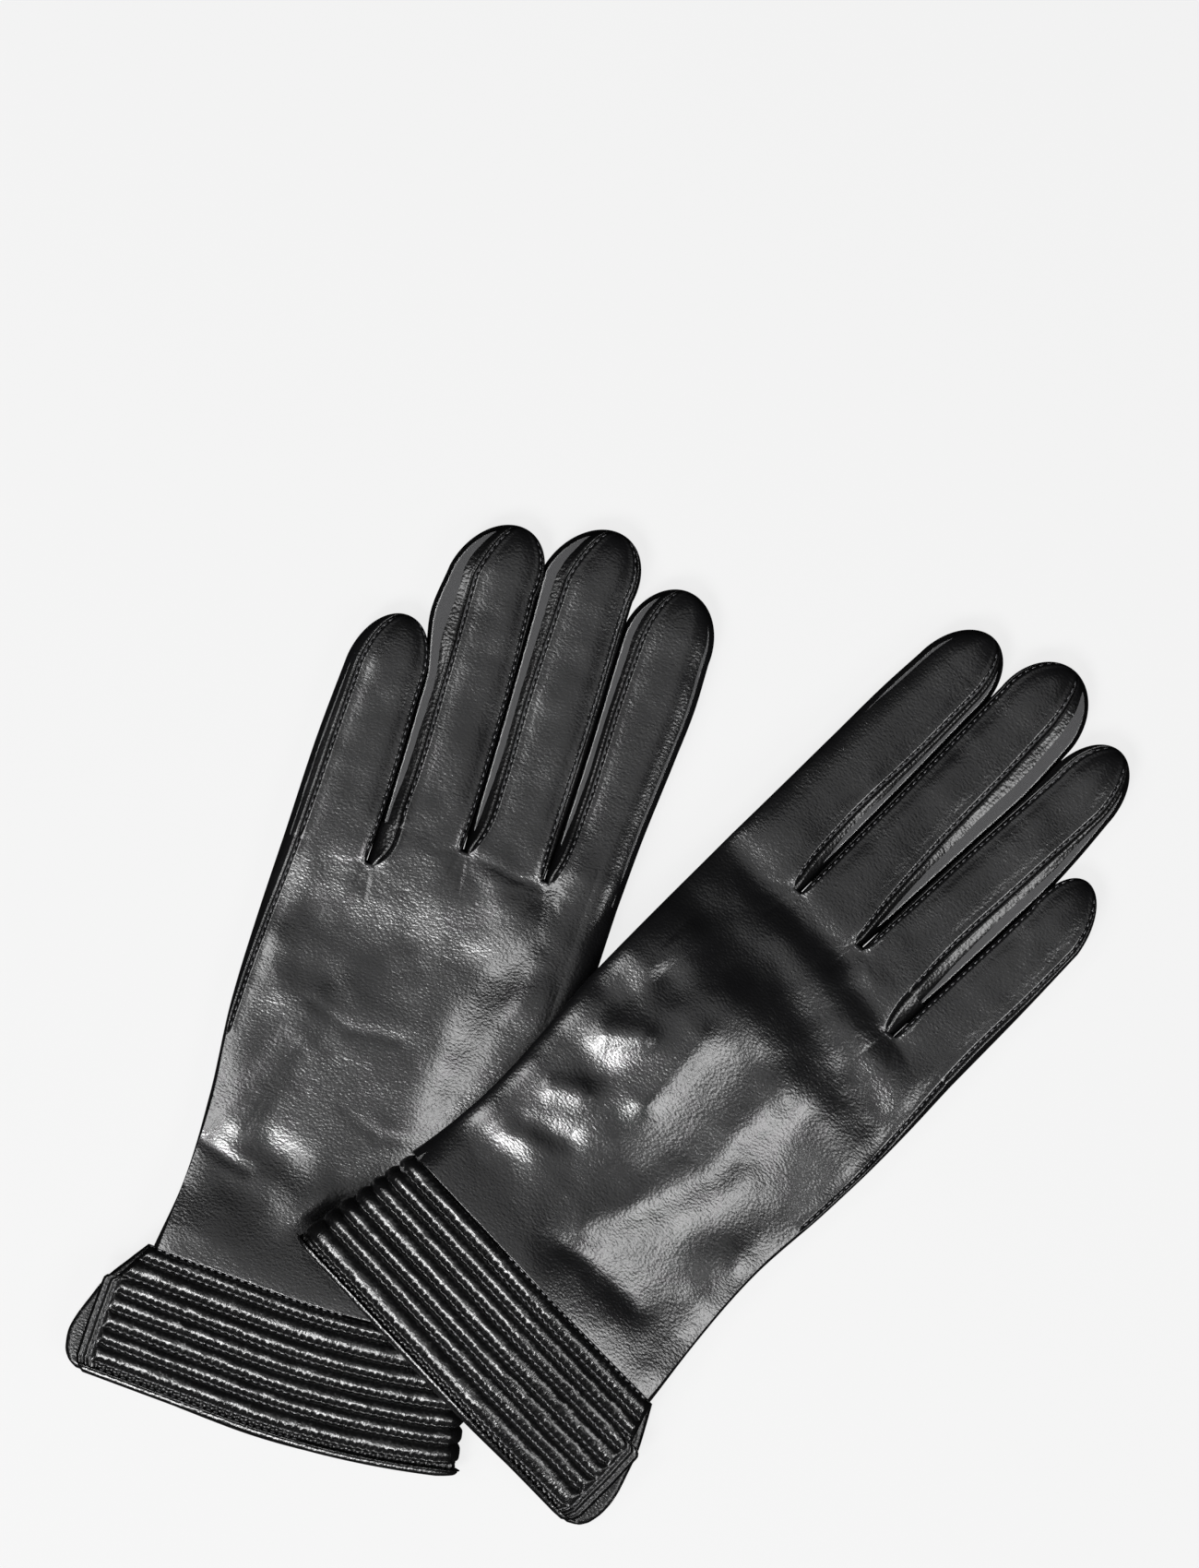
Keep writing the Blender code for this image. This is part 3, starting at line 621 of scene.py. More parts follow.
class Skins:
    """Gathers the grids of a glove's pieces, so that normals run smoothly from one to the next."""

    def __init__(self, glove):
        self.glove = glove
        self.grids = []

    def add(self, piece, points):
        self.grids.append((piece, points))

    def normals(self):
        """A normal for each point of each grid, shared where grids meet."""
        flat, sums = [], []
        for _, points in self.grids:
            across = points[:-1, 1:] - points[1:, :-1]
            along = points[1:, 1:] - points[:-1, :-1]
            face = np.cross(across, along)
            total = np.zeros_like(points)
            total[:-1, :-1] += face
            total[:-1, 1:] += face
            total[1:, :-1] += face
            total[1:, 1:] += face
            flat.append(points.reshape(-1, 3))
            sums.append(total.reshape(-1, 3))
        place = np.round(np.concatenate(flat) / WELD).astype(np.int64)
        _, index = np.unique(place, axis=0, return_inverse=True)
        index = index.reshape(-1)
        totals = np.concatenate(sums)
        shared = np.stack([np.bincount(index, totals[:, k]) for k in range(3)], axis=1)
        shared /= np.maximum(np.linalg.norm(shared, axis=1), 1e-12)[:, None]
        return np.split(shared[index], np.cumsum([len(f) for f in flat])[:-1])

    def build(self):
        """One object for each piece."""
        made = {}
        normals = self.normals()
        for piece in dict.fromkeys(name for name, _ in self.grids):
            points, faces, turned, count = [], [], [], 0
            for (name, grid), grid_normals in zip(self.grids, normals):
                if name != piece:
                    continue
                rows, columns = grid.shape[:2]
                at = np.arange(rows * columns).reshape(rows, columns) + count
                quads = np.stack([at[:-1, :-1], at[:-1, 1:], at[1:, 1:], at[1:, :-1]], axis=-1)
                faces.append(quads.reshape(-1, 4))
                points.append(grid.reshape(-1, 3))
                turned.append(grid_normals)
                count += rows * columns
            made[piece] = make_mesh(
                f"{self.glove.name}_{piece}_skin", self.glove, np.concatenate(points),
                np.concatenate(faces), np.concatenate(turned), finish_of(piece)[0],
            )
        return made


def make_mesh(name, glove, points, faces, normals, finish):
    """A mesh object from points of the plan frame; it keeps them as the leather's own places."""
    place = np.round(points / WELD).astype(np.int64)
    _, first, index = np.unique(place, axis=0, return_index=True, return_inverse=True)
    faces = index.reshape(-1)[faces]
    points = points[first]
    points[:, 2] = np.maximum(points[:, 2], 0.0)  # flat where it rests on the table
    if glove.side < 0:
        faces = faces[:, ::-1]
    whole = [list(dict.fromkeys(face)) for face in faces.tolist()]
    whole = [face for face in whole if len(face) > 2]
    mesh = bpy.data.meshes.new(name)
    mesh.from_pydata(glove.to_row(points).tolist(), [], whole)
    mesh.validate()
    mesh.shade_smooth()
    places = mesh.attributes.new("leather_place", "FLOAT_VECTOR", "POINT")
    places.data.foreach_set("vector", (points * MM).astype(np.float32).ravel())
    if normals is not None:
        turned = normals[first]
        flat = glove.side * turned[:, :1] * glove.across + turned[:, 1:2] * glove.along
        mesh.normals_split_custom_set_from_vertices(np.hstack([flat, turned[:, 2:]]).tolist())
    mesh.materials.append(finish)
    return new_object(name, mesh)


def new_object(name, data):
    made = bpy.data.objects.new(name, data)
    bpy.context.collection.objects.link(made)
    return made


def rows_between(start, end):
    """Places from start to end, about ROW_STEP apart."""
    return np.linspace(start, end, max(2, int(round((end - start) / ROW_STEP)) + 1))


def hand_section(glove, v, upper):
    """The hand below the little finger's fork, or above it, where the little finger has left."""
    left = glove.edges["little_ring" if upper else "ulnar"](v) + (SEAM_GAP / 2 if upper else 0)
    right = glove.edges["radial"](v + glove.warp(FOLD_U, v))
    seam_left = key_line(glove, "ring_ulnar" if upper else "outseam", v)
    sewn_from = LITTLE_CROTCH_V if upper else OUTSEAM_FROM_V
    made = Section(glove, v, left, right, seam_left, right - FOLD_WIDTH, sewn_from)
    made.outer_left = not upper
    made.outer_right = True
    if upper:
        made.spread = np.zeros(len(v))
    return made


def build_hand(glove, skins):
    """The back and palm of the hand up to the forks, as bands of columns between the key lines."""
    length = LITTLE_CROTCH_V - CUFF_SEAM_V
    even = np.linspace(ROW_STEP / length, 1, int(length / ROW_STEP))
    lower_v = CUFF_SEAM_V + np.concatenate([CUFF_SEAM_ROWS / length, even]) * length
    for upper in (False, True):
        v = rows_between(LITTLE_CROTCH_V, CROTCH_V) if upper else lower_v
        section = hand_section(glove, v, upper)
        keys = KEYS[2:] if upper else KEYS
        lines = [key_line(glove, key, v) for key in keys] + [section.seam_right]
        grids = []
        for i, key in enumerate(keys):
            count = FORK_COLUMNS if key.endswith("radial") else TOP_COLUMNS
            grids.append(section.back(lines[i], lines[i + 1], count, (i == 0, False)))
            grids.append(section.palm(lines[i], lines[i + 1], PALM_COLUMNS))
        grids.append(section.wall("right", grooves=False))
        ulnar_wall = section.wall("left")
        if not upper:
            grids = [warp_to_cuff(glove, grid) for grid in (*grids, ulnar_wall)]
        for grid in grids:
            skins.add("trank", grid)
        if upper:
            skins.add("ring_fourchette_ulnar", ulnar_wall)


def warp_to_cuff(glove, grid):
    """Stretches the hand's rows so that the first one follows the cuff's rising top seam."""
    u, v, z = grid[..., 0], grid[..., 1], grid[..., 2]
    shift = glove.warp(u, v)
    back, warped_back = (glove.lift(u, at) + tube_height(at) for at in (v, v + shift))
    palm, warped_palm = (glove.underside(u, at) for at in (v, v + shift))
    height = (z - palm) / (back - palm)
    z = warped_palm + height * (warped_back - warped_palm)
    tuck = SEAM_TUCK[0] * ridge(v, CUFF_SEAM_V, SEAM_TUCK[1])
    z = z - np.clip(2.0 * height - 1.0, -1.0, 1.0) * tuck
    return np.stack([u, v + shift, z], axis=-1)


def finger_section(glove, finger, inset=0.0):
    """A finger's sections from its fork to its tip, which closes as a quarter of an ellipse."""
    left_edge, right_edge, left_seam, right_seam, start = FINGERS[finger]
    tip_u, tip_v = glove.tips[finger]
    shoulder = tip_v - FINGERTIP
    straight = rows_between(start, shoulder)
    turn = np.radians(np.linspace(*TIP_TURN, TIP_ROWS))
    v = np.concatenate([straight, shoulder + (FINGERTIP - inset) * np.sin(turn)])
    held = np.minimum(v, shoulder)
    squeeze = np.concatenate([np.ones(len(straight)), np.cos(turn)])
    lean = np.concatenate([np.zeros(len(straight)), np.sin(turn)])
    lap = soft_step(held, start, start + LAP_LENGTH)
    under = 0.0 if finger == "little" else SEAM_GAP / 2 - UNDER_LAP * lap
    over = 0.0 if finger == "index" else SEAM_GAP / 2 - OVER_LAP * lap
    left = glove.edges[left_edge](held) + under + inset
    right = glove.edges[right_edge](held) - over - inset
    seam_left = glove.seams[left_seam](held)
    if right_seam:
        seam_right = np.minimum(glove.seams[right_seam](held), right - NARROWEST_SIDE)
    else:
        seam_right = right - FOLD_WIDTH
    middle = (left + right) / 2
    shift = (tip_u - middle[-1]) * lean
    left, right, seam_left, seam_right = (
        middle + (line - middle) * squeeze + shift for line in (left, right, seam_left, seam_right)
    )
    made = Section(glove, v, left, right, seam_left, seam_right, start, squeeze**TIP_BLUNTNESS)
    made.outer_left = finger == "little"
    made.outer_right = finger == "index"
    return made


def finger_back(finger, section):
    """The back of a finger; the index finger's radial side is folded, and not sewn."""
    grooves = (True, finger != "index")
    return section.back(section.seam_left, section.seam_right, TOP_COLUMNS, grooves)


def build_finger(glove, finger, skins):
    section = finger_section(glove, finger)
    section.bellies = (
        ROUND_BELLY if finger == "little" else ULNAR_BELLY,
        ROUND_BELLY if finger == "index" else RADIAL_BELLY,
    )
    section.tuck = 0.0 if finger == "index" else PALM_TUCK
    stall = f"{finger}_stall"
    skins.add(stall, finger_back(finger, section))
    palm_right = section.seam_right - section.palm_tuck()
    skins.add(stall, section.palm(section.seam_left, palm_right, PALM_COLUMNS))
    ulnar = stall if finger == "little" else f"{finger}_fourchette_ulnar"
    radial = stall if finger == "index" else f"{finger}_fourchette_radial"
    skins.add(ulnar, section.wall("left"))
    skins.add(radial, section.wall("right", grooves=finger != "index"))


def build_forks(glove, skins):
    """The leather that turns down at the end of each slit."""
    for left, right, start in FORKS:
        near, far = glove.seams[left](start), glove.seams[right](start)
        u = (near + panel_places([far - near], FORK_COLUMNS))[0]
        v = np.full(len(u), start)
        section = hand_section(glove, np.array([start]), start == CROTCH_V)
        z = section.top(u[None, :], v[None, :])[0]
        turned = [np.stack([u, v + ahead, z - depth], axis=-1) for depth, ahead in FORK_TURN]
        skins.add("trank", np.stack(turned))


def cuff_sheet(glove, q, depth_of, coarse=1.0):
    """A sheet that follows the cuff from the back flap's edge round to the palm flap's edge.

    depth_of(u, q, inward) is how far it lies under the outer face, inward being the distance
    from the flap's edge, or negative on the palm side.
    """
    back_edge = glove.edges["back_flap"](q)[:, None]
    palm_edge = glove.edges["palm_flap"](q)[:, None]
    end = glove.edges["radial"](q + glove.rise(FOLD_U))[:, None] - CUFF_FOLD
    flap = FLAP_OFFSETS if coarse == 1.0 else FLAP_OFFSETS[::3]
    start = back_edge + flap[-1]
    share = np.linspace(0, 1, int(CUFF_WIDTH / (CUFF_STEP * coarse)))[1:]
    top_u = np.concatenate([back_edge + flap, start + (end - start) * share], axis=1)
    angle = np.radians(np.linspace(90, -90, BEND_COLUMNS + 2)[1:-1])
    bend_u = end + CUFF_FOLD * np.cos(angle)
    low_start = palm_edge + PALM_FLAP_OFFSETS[0]
    low_share = np.linspace(1, 0, CUFF_PALM_COLUMNS)
    low_u = low_start + (end - low_start) * low_share
    low_u = np.concatenate([low_u, palm_edge + PALM_FLAP_OFFSETS[1:]], axis=1)
    q = q[:, None]
    half = CUFF_HEIGHT / 2

    def place(u, normal_u, normal_z, z, inward):
        depth = depth_of(u, np.broadcast_to(q, u.shape), inward)
        peek = HEM_PEEK * ridge(u, -8.0, 30.0) * (1.0 - soft_step(q, -3.0, 3.0))
        v = q + glove.rise(u) - peek * (z < half)
        z = z - normal_z * depth + glove.lift(u, v)
        return np.stack([u - normal_u * depth, v, z], axis=-1)

    bend_z = half + half * np.sin(angle)
    top = place(top_u, 0.0, 1.0, 2 * half, top_u - back_edge)
    bend = place(bend_u, np.cos(angle), np.sin(angle), bend_z, np.full(bend_u.shape, MID_CUFF))
    low = place(low_u, 0.0, -1.0, 0.0, -(low_u - palm_edge) - 1e-6)
    return np.concatenate([top, bend, low], axis=1)


def band_depth(glove):
    """The quilting's relief, as depth under the outer face."""
    lines = np.array(glove.lines)
    radial = glove.edges["radial"]

    def depth(u, q, inward):
        i = np.clip(np.searchsorted(-lines, -q, side="right") - 1, 0, len(lines) - 2)
        upper, lower = lines[i], lines[i + 1]
        channel = upper - lower
        t = np.clip((upper - q) / channel, 0.0, 1.0)
        # the padded channel, fuller in places and flatter at the cuff's fold
        size = PAD_HEIGHT * np.minimum(channel / CHANNEL, 1.0) ** 0.8
        fullness = 1.0 + 0.12 * lumps(u, q, 5.0, 12) + 0.08 * lumps(u, q, 1.9, 14)
        at_fold = soft_step(u, radial(q) - 7.0, radial(q) - 0.5) * (inward > 0)
        pad = size * fullness * (1.0 - 0.55 * at_fold) * (4 * t * (1 - t)) ** 0.72
        # the stitch holes of its lower line, and the puckers beside both lines
        phase = u * 2 * math.pi / STITCH + i * 2.1
        hole = np.clip(np.cos(phase), 0.0, 1.0) ** 2 * ridge((1 - t) * channel, 0.6, 0.5)
        pucker = 0.2 * np.cos(phase) * ridge(np.minimum(t, 1 - t) * channel, 0.75, 0.6)
        # the vent's flat margin, held down by its topstitching
        from_edge = np.abs(inward)
        above_vent = soft_step(q, FLAP_TOP_V, FLAP_TOP_V + 1.0)
        margin = FLAP_MARGIN * (1.0 - above_vent) + SEAM_MARGIN * above_vent
        quilted = soft_step(from_edge, margin - 0.5, margin + 0.7)
        fall = 1.0 - np.clip(from_edge / FLAP_MARGIN, 0.0, 1.0)
        rows = sum(ridge(from_edge, at, 0.4) for at in TOPSTITCHING)
        between = ridge(from_edge, sum(TOPSTITCHING) / 2, 0.5)
        flat = 0.3 + fall + 0.8 * rows - 0.5 * between
        relief = (PAD_HEIGHT - pad + hole + pucker) * quilted + flat * (1 - quilted)
        return relief - 0.6 + turned_edge(from_edge)

    return depth


def rolled(from_edge):
    """0 at a turned edge, and 1 where the leather has rolled over it."""
    return np.sqrt(1.0 - np.clip(1.0 - from_edge / EDGE_ROLL, 0.0, 1.0) ** 2)


def turned_edge(from_edge):
    """How far a sheet's face falls towards the middle of its turned edge."""
    return EDGE_THICKNESS / 2 * (1.0 - rolled(from_edge))


def facing_depth(u, q, inward):
    return EDGE_THICKNESS + 0.08 * lumps(u, q, 7.0, 9) - turned_edge(np.abs(inward))


def wadding_depth(u, q, inward):
    return 1.9 + 0.15 * lumps(u, q, 3.0, 17)


def build_cuff(glove, skins):
    """The quilted band, its binding, the facing inside it and the wadding between them."""
    lines = glove.lines
    rows = []
    for upper, lower in zip(lines, lines[1:]):
        count = max(5, int(round((upper - lower) / CHANNEL_STEP)))
        share = np.linspace(0, 1, count + 1)
        rows.append(upper + (lower - upper) * share[:-1])
    q = np.concatenate(rows + [[lines[-1]]])[::-1]
    skins.add("cuff_band", cuff_sheet(glove, q, band_depth(glove)))
    build_binding(glove, skins)
    inner_q = np.linspace(lines[-1], lines[0], 40)
    facing = cuff_sheet(glove, inner_q, facing_depth, INNER_COARSENESS)
    skins.add("cuff_facing", facing[:, ::-1])
    padded_q = np.linspace(lines[-1] + 1.5, lines[0] - 1.0, 40)
    skins.add("cuff_wadding", cuff_sheet(glove, padded_q, wadding_depth, INNER_COARSENESS))


def build_binding(glove, skins):
    """The hem's turned edge, rolled round from the outer face to the inner one."""
    start = glove.lines[-1]
    radius = EDGE_THICKNESS / 2
    turn_q = glove.hem_v + radius
    flat_to = 0.8
    profile = []
    for t in (0.0, 0.12, 0.3, 0.55, flat_to):
        swell = 0.6 * math.sin(math.pi * min(t / flat_to, 1.0))
        groove_in = 0.9 * ridge(t, 0.0, 0.18)
        profile.append((start + (turn_q - start) * t / flat_to, 0.35 - swell + groove_in))
    for degrees in range(15, 181, 15):
        a = math.radians(degrees)
        profile.append((turn_q - radius * math.sin(a), 0.3 + radius * (1.0 - math.cos(a))))
    profile.append((start + 0.6, EDGE_THICKNESS))
    rows = [binding_row(glove, q, depth) for q, depth in profile]
    skins.add("hem_binding", np.stack(rows)[::-1])


def binding_row(glove, q, depth):
    """One line of the binding, drawn to the middle of the edge at the flaps' edges."""
    middle = EDGE_THICKNESS / 2

    def closing(u, q, inward):
        return middle + (depth - middle) * rolled(np.abs(inward))

    return cuff_sheet(glove, np.array([q]), closing)[0]


class Stitches:
    """Short lengths of thread, each a small capsule, along the seams of one piece."""

    SIDES = 6
    PROFILE = ((-1.0, 0.0), (-0.86, 0.6), (-0.5, 1.0), (0.5, 1.0), (0.86, 0.6), (1.0, 0.0))

    def __init__(self):
        self.points = []
        self.faces = []

    def sew(self, path, pitch=STITCH, length=STITCH_LENGTH, radius=THREAD_RADIUS):
        """Stitches along a path of plan-frame points; they sink into the leather at both ends."""
        path = np.asarray(path)
        run = np.concatenate([[0.0], np.cumsum(np.linalg.norm(np.diff(path, axis=0), axis=1))])
        for start in np.arange(pitch / 2, run[-1] - pitch, pitch):
            ends = [np.array([np.interp(at, run, path[:, k]) for k in range(3)])
                    for at in (start, start + length)]
            self.capsule(ends[0], ends[1], radius)

    def capsule(self, start, end, radius):
        """One stitch, whose ends sink a little."""
        axis = (end - start) / 2
        centre = (start + end) / 2
        forward = axis / np.linalg.norm(axis)
        side = np.cross(forward, (0.0, 0.0, 1.0))
        side /= np.linalg.norm(side)
        up = np.cross(side, forward)
        first = len(self.points)
        for along, wide in self.PROFILE:
            sag = -0.5 * radius * along * along
            for k in range(self.SIDES):
                a = 2 * math.pi * k / self.SIDES
                around = side * math.cos(a) + up * math.sin(a)
                self.points.append(centre + axis * along + around * radius * wide + up * sag)
        for i in range(len(self.PROFILE) - 1):
            for k in range(self.SIDES):
                n = (k + 1) % self.SIDES
                a, b = first + i * self.SIDES, first + (i + 1) * self.SIDES
                self.faces.append((a + k, a + n, b + n, b + k))

    def build(self, glove, part, name):
        points, faces = np.array(self.points), np.array(self.faces)
        follow(glove, part, make_mesh(f"{glove.name}_{name}", glove, points, faces, None, SHEEN_PAINTED_THREAD))


def sew_finger(glove, finger):
    """The seams of a finger's back, sewn just inside its edges."""
    stitches = Stitches()
    section = finger_section(glove, finger)
    back = finger_back(finger, section)[3:-6]
    stitches.sew(back[:, STITCHED_COLUMN])
    if finger != "index":
        stitches.sew(back[:, -1 - STITCHED_COLUMN])
    stitches.build(glove, finger, f"{finger}_stitches")


def sew_hand(glove):
    """The seam up the little finger's side of the hand, and a few stitches round each fork."""
    stitches = Stitches()
    v = rows_between(OUTSEAM_FROM_V + 1.0, LITTLE_CROTCH_V)
    section = hand_section(glove, v, False)
    lines = key_line(glove, "outseam", v), key_line(glove, "little_radial", v)
    back = section.back(*lines, TOP_COLUMNS, (True, False))
    stitches.sew(warp_to_cuff(glove, back)[:, STITCHED_COLUMN])
    around = np.linspace(-1, 1, 9)
    for left, right, start in FORKS:
        near, far = glove.seams[left](start) - 0.5, glove.seams[right](start) + 0.5
        u = near + (far - near) * (around + 1) / 2
        v = start - 0.9 * np.sqrt(1 - around**2)
        section = hand_section(glove, v, start == CROTCH_V)
        z = section.top(u[:, None], v[:, None])[:, 0]
        stitches.sew(np.stack([u, v, z], axis=-1), pitch=1.5, length=1.0)
    stitches.build(glove, "hand", "hand_stitches")


def sew_cuff(glove):
    """The quilting, and the two rows of topstitching in the vent's margin."""
    stitches = Stitches()
    depth = band_depth(glove)
    for q in glove.lines:
        row = cuff_sheet(glove, np.array([q]), depth)[0]
        back = row[:len(row) // 2]
        start = glove.edges["back_flap"](q) + (FLAP_MARGIN if q < FLAP_TOP_V else SEAM_MARGIN) + 0.4
        back = back[(back[:, 0] > start) & (back[:, 0] < glove.edges["radial"](q) - 5.0)]
        stitches.sew(back + np.array([0.0, 0.0, QUILTING_PROUD]), radius=QUILTING_RADIUS)
    q = np.linspace(glove.lines[-1] + 0.5, FLAP_TOP_V - 1.2, 40)
    rows = cuff_sheet(glove, q, depth)[:, :60]
    for at in TOPSTITCHING:
        edge = glove.edges["back_flap"](q) + at
        path = [
            [np.interp(u, row[:, 0], row[:, k]) for k in range(3)] for u, row in zip(edge, rows)
        ]
        stitches.sew(np.array(path) + np.array([0.0, 0.0, TOPSTITCHING_PROUD]))
    stitches.build(glove, "hand", "cuff_stitches")


def build_thumb(glove, skins):
    """The thumb, folded flat under the palm."""
    turn = np.radians(np.linspace(-89, 0, 16))
    tip_turn = np.radians(np.linspace(0, 89, 20))
    tip_start = THUMB_LENGTH - FINGERTIP
    along = np.concatenate([
        THUMB_HALF_WIDTH * np.sin(turn), np.linspace(0, tip_start, 40)[1:-1],
        tip_start + FINGERTIP * np.sin(tip_turn),
    ])
    squeeze = np.concatenate([np.cos(turn), np.ones(38), np.cos(tip_turn)])
    half_width = (THUMB_HALF_WIDTH - soft_step(along, 0, tip_start)) * squeeze
    angle = np.linspace(0, 2 * math.pi, 49)
    across = half_width[:, None] * -np.sign(np.cos(angle)) * np.abs(np.cos(angle)) ** 0.85
    rise = THUMB_HEIGHT / 2 * squeeze[:, None] ** 0.8 * np.sin(angle)
    wrinkle = 0.15 * lumps(across * 1.5, along[:, None], 4.0, 41)
    middle_z = glove.thumb_z + THUMB_HEIGHT / 2
    z = middle_z + rise * 0.94 + wrinkle * squeeze[:, None]
    along = np.broadcast_to(along[:, None], across.shape)
    u = THUMB_PIVOT[0] + across * math.cos(THUMB_TURN) + along * math.sin(THUMB_TURN)
    v = THUMB_PIVOT[1] - across * math.sin(THUMB_TURN) + along * math.cos(THUMB_TURN)
    skins.add("thumb_stall", np.stack([u, v, z], axis=-1))
    middle = np.array([THUMB_PIVOT[0], THUMB_PIVOT[1] + THUMB_MIDDLE, middle_z])
    lining = middle + (np.stack([u, v, z], axis=-1) - middle) * THUMB_LINING
    skins.add("thumb_lining", lining[::2, ::4])


def build_linings(glove, skins):
    """The knitted lining, seen only through the cuff's mouth: a plain tube inside the leather."""
    v = np.linspace(CUFF_SEAM_V - 1.0, LITTLE_CROTCH_V, 60)
    left = glove.edges["ulnar"](v) + LINING_INSET
    right = glove.edges["radial"](v) - LINING_INSET
    skins.add("hand_lining", lining_tube(glove, v, left, right, np.ones(len(v))))
    for finger in FINGERS:
        section = finger_section(glove, finger, LINING_INSET)
        lines = section.v, section.left, section.right, section.squeeze
        tube = lining_tube(glove, *(line[::LINING_STEP] for line in lines))
        skins.add(f"{finger}_lining", tube)


def lining_tube(glove, v, left, right, squeeze):
    """A closed tube between two edges, halfway between the palm and the back."""
    flat = np.linspace(-1, 1, 32)[1:-1]
    bend = np.radians(np.linspace(90, -90, 9))
    across = np.concatenate([flat, 0.96 + 0.04 * np.cos(bend), -flat, -0.96 - 0.04 * np.cos(bend)])
    across = np.append(across, across[0])
    rise = np.concatenate([np.ones(30), np.sin(bend), -np.ones(30), -np.sin(bend), [1.0]])
    u = (left + right)[:, None] / 2 + (right - left)[:, None] / 2 * across
    v = np.broadcast_to(v[:, None], u.shape)
    palm, back = glove.underside(u, v), glove.lift(u, v) + tube_height(v)
    sag = np.where(rise > 0, np.minimum(glove.relief(u, v), 0.0), 0.0)
    half = np.maximum((back - palm) / 2 - 1.5, 0.5)
    z = (palm + back) / 2 + (half * rise + sag) * squeeze[:, None]
    return np.stack([u, v, z], axis=-1)


# ---------------------------------------------------------------- materials


GRAIN_DEPTH = 0.00022  # metres


class Look:
    """A material being made: its nodes, and the piece's own places for its textures."""

    def __init__(self, name):
        self.made = bpy.data.materials.new(name)
        self.made.use_nodes = True
        self.tree = self.made.node_tree
        self.place = self.node("ShaderNodeAttribute", "Vector", attribute_name="leather_place")

    def feed(self, node, inputs):
        """Gives each input a value, or another node's output."""
        for name, value in inputs.items():
            if isinstance(value, bpy.types.NodeSocket):
                self.tree.links.new(value, node.inputs[name])
            else:
                node.inputs[name].default_value = value

    def node(self, kind, output, inputs=None, **settings):
        node = self.tree.nodes.new(kind)
        for name, value in settings.items():
            setattr(node, name, value)
        self.feed(node, inputs or {})
        return node.outputs[output]

    def scaled(self, scale):
        inputs = {"Vector": self.place, "Scale": scale}
        return self.node("ShaderNodeMapping", "Vector", inputs)

    def noise(self, place, scale, detail=2.0, output="Fac"):
        inputs = {"Vector": place, "Scale": scale, "Detail": detail}
        return self.node("ShaderNodeTexNoise", output, inputs)

    def ranged(self, value, low, high):
        """Noise, which is mostly from 0.3 to 0.7, stretched to lie from low to high."""
        inputs = {"Value": value, "From Min": 0.3, "From Max": 0.7, "To Min": low, "To Max": high}
        return self.node("ShaderNodeMapRange", "Result", inputs)

    def tint(self, colour, darkest, lightest, share):
        shades = [(*(shade * c for c in colour), 1.0) for shade in (darkest, lightest)]
        inputs = {"A": shades[0], "B": shades[1], "Factor": share}
        return self.node("ShaderNodeMix", "Result", inputs, data_type="RGBA")

    def bump(self, height, strength, distance, **before):
        inputs = {"Height": height, "Strength": strength, "Distance": distance, **before}
        return self.node("ShaderNodeBump", "Normal", inputs)

    def finished(self, inputs):
        self.feed(self.tree.nodes["Principled BSDF"], inputs)
        return self.made


def leather(
    name, colour, roughness, grain, creasing, shine=0.5, wrinkles=(1.0, 1.9), pebbles=1350.0
):
    """Smooth black nappa: a fine pebble grain, fine wrinkles across it, and a waxy finish."""
    look = Look(name)
    ripple = look.noise(look.place, 900.0, output="Color")
    rippled = look.node("ShaderNodeMixRGB", "Color", {
        "Fac": 0.0004, "Color1": look.scaled((0.85, 1.2, 1.0)), "Color2": ripple,
    }, blend_type="ADD")
    pebble = look.node("ShaderNodeTexVoronoi", "Distance", {
        "Vector": rippled, "Scale": pebbles, "Smoothness": 0.4,
    }, feature="SMOOTH_F1")
    fine = look.noise(look.scaled((*wrinkles, 1.4)), 950.0)
    patches = look.noise(look.place, 90.0)
    mottle = look.noise(look.place, 240.0, 3.0)
    grained = look.ranged(patches, 0.25 * grain, 0.6 * grain)
    creased = look.ranged(mottle, 0.35 * creasing, 0.8 * creasing)
    cells = look.bump(pebble, grained, -GRAIN_DEPTH)
    return look.finished({
        "Base Color": look.tint(colour, 0.7, 1.3, mottle),
        "Roughness": look.ranged(patches, roughness - 0.03, roughness + 0.03),
        "Specular IOR Level": shine,
        "Normal": look.bump(fine, creased, GRAIN_DEPTH, Normal=cells),
    })


def thread(name, colour):
    """Twisted sewing thread, a little glossier than the leather."""
    look = Look(name)
    twist = look.noise(look.place, 4000.0)
    return look.finished({
        "Base Color": (*colour, 1.0), "Roughness": 0.38, "Normal": look.bump(twist, 0.5, 0.0001),
    })


def cloth(name, colour, scale, depth):
    """A fine knit or a fibrous felt."""
    look = Look(name)
    rib = look.node("ShaderNodeTexWave", "Fac", {
        "Vector": look.place, "Scale": scale, "Distortion": 2.0, "Detail Scale": 3.0,
    }, bands_direction="X")
    return look.finished({
        "Base Color": look.tint(colour, 0.6, 1.2, rib), "Roughness": 0.9, "Sheen Weight": 0.3,
        "Normal": look.bump(rib, 0.6, depth),
    })


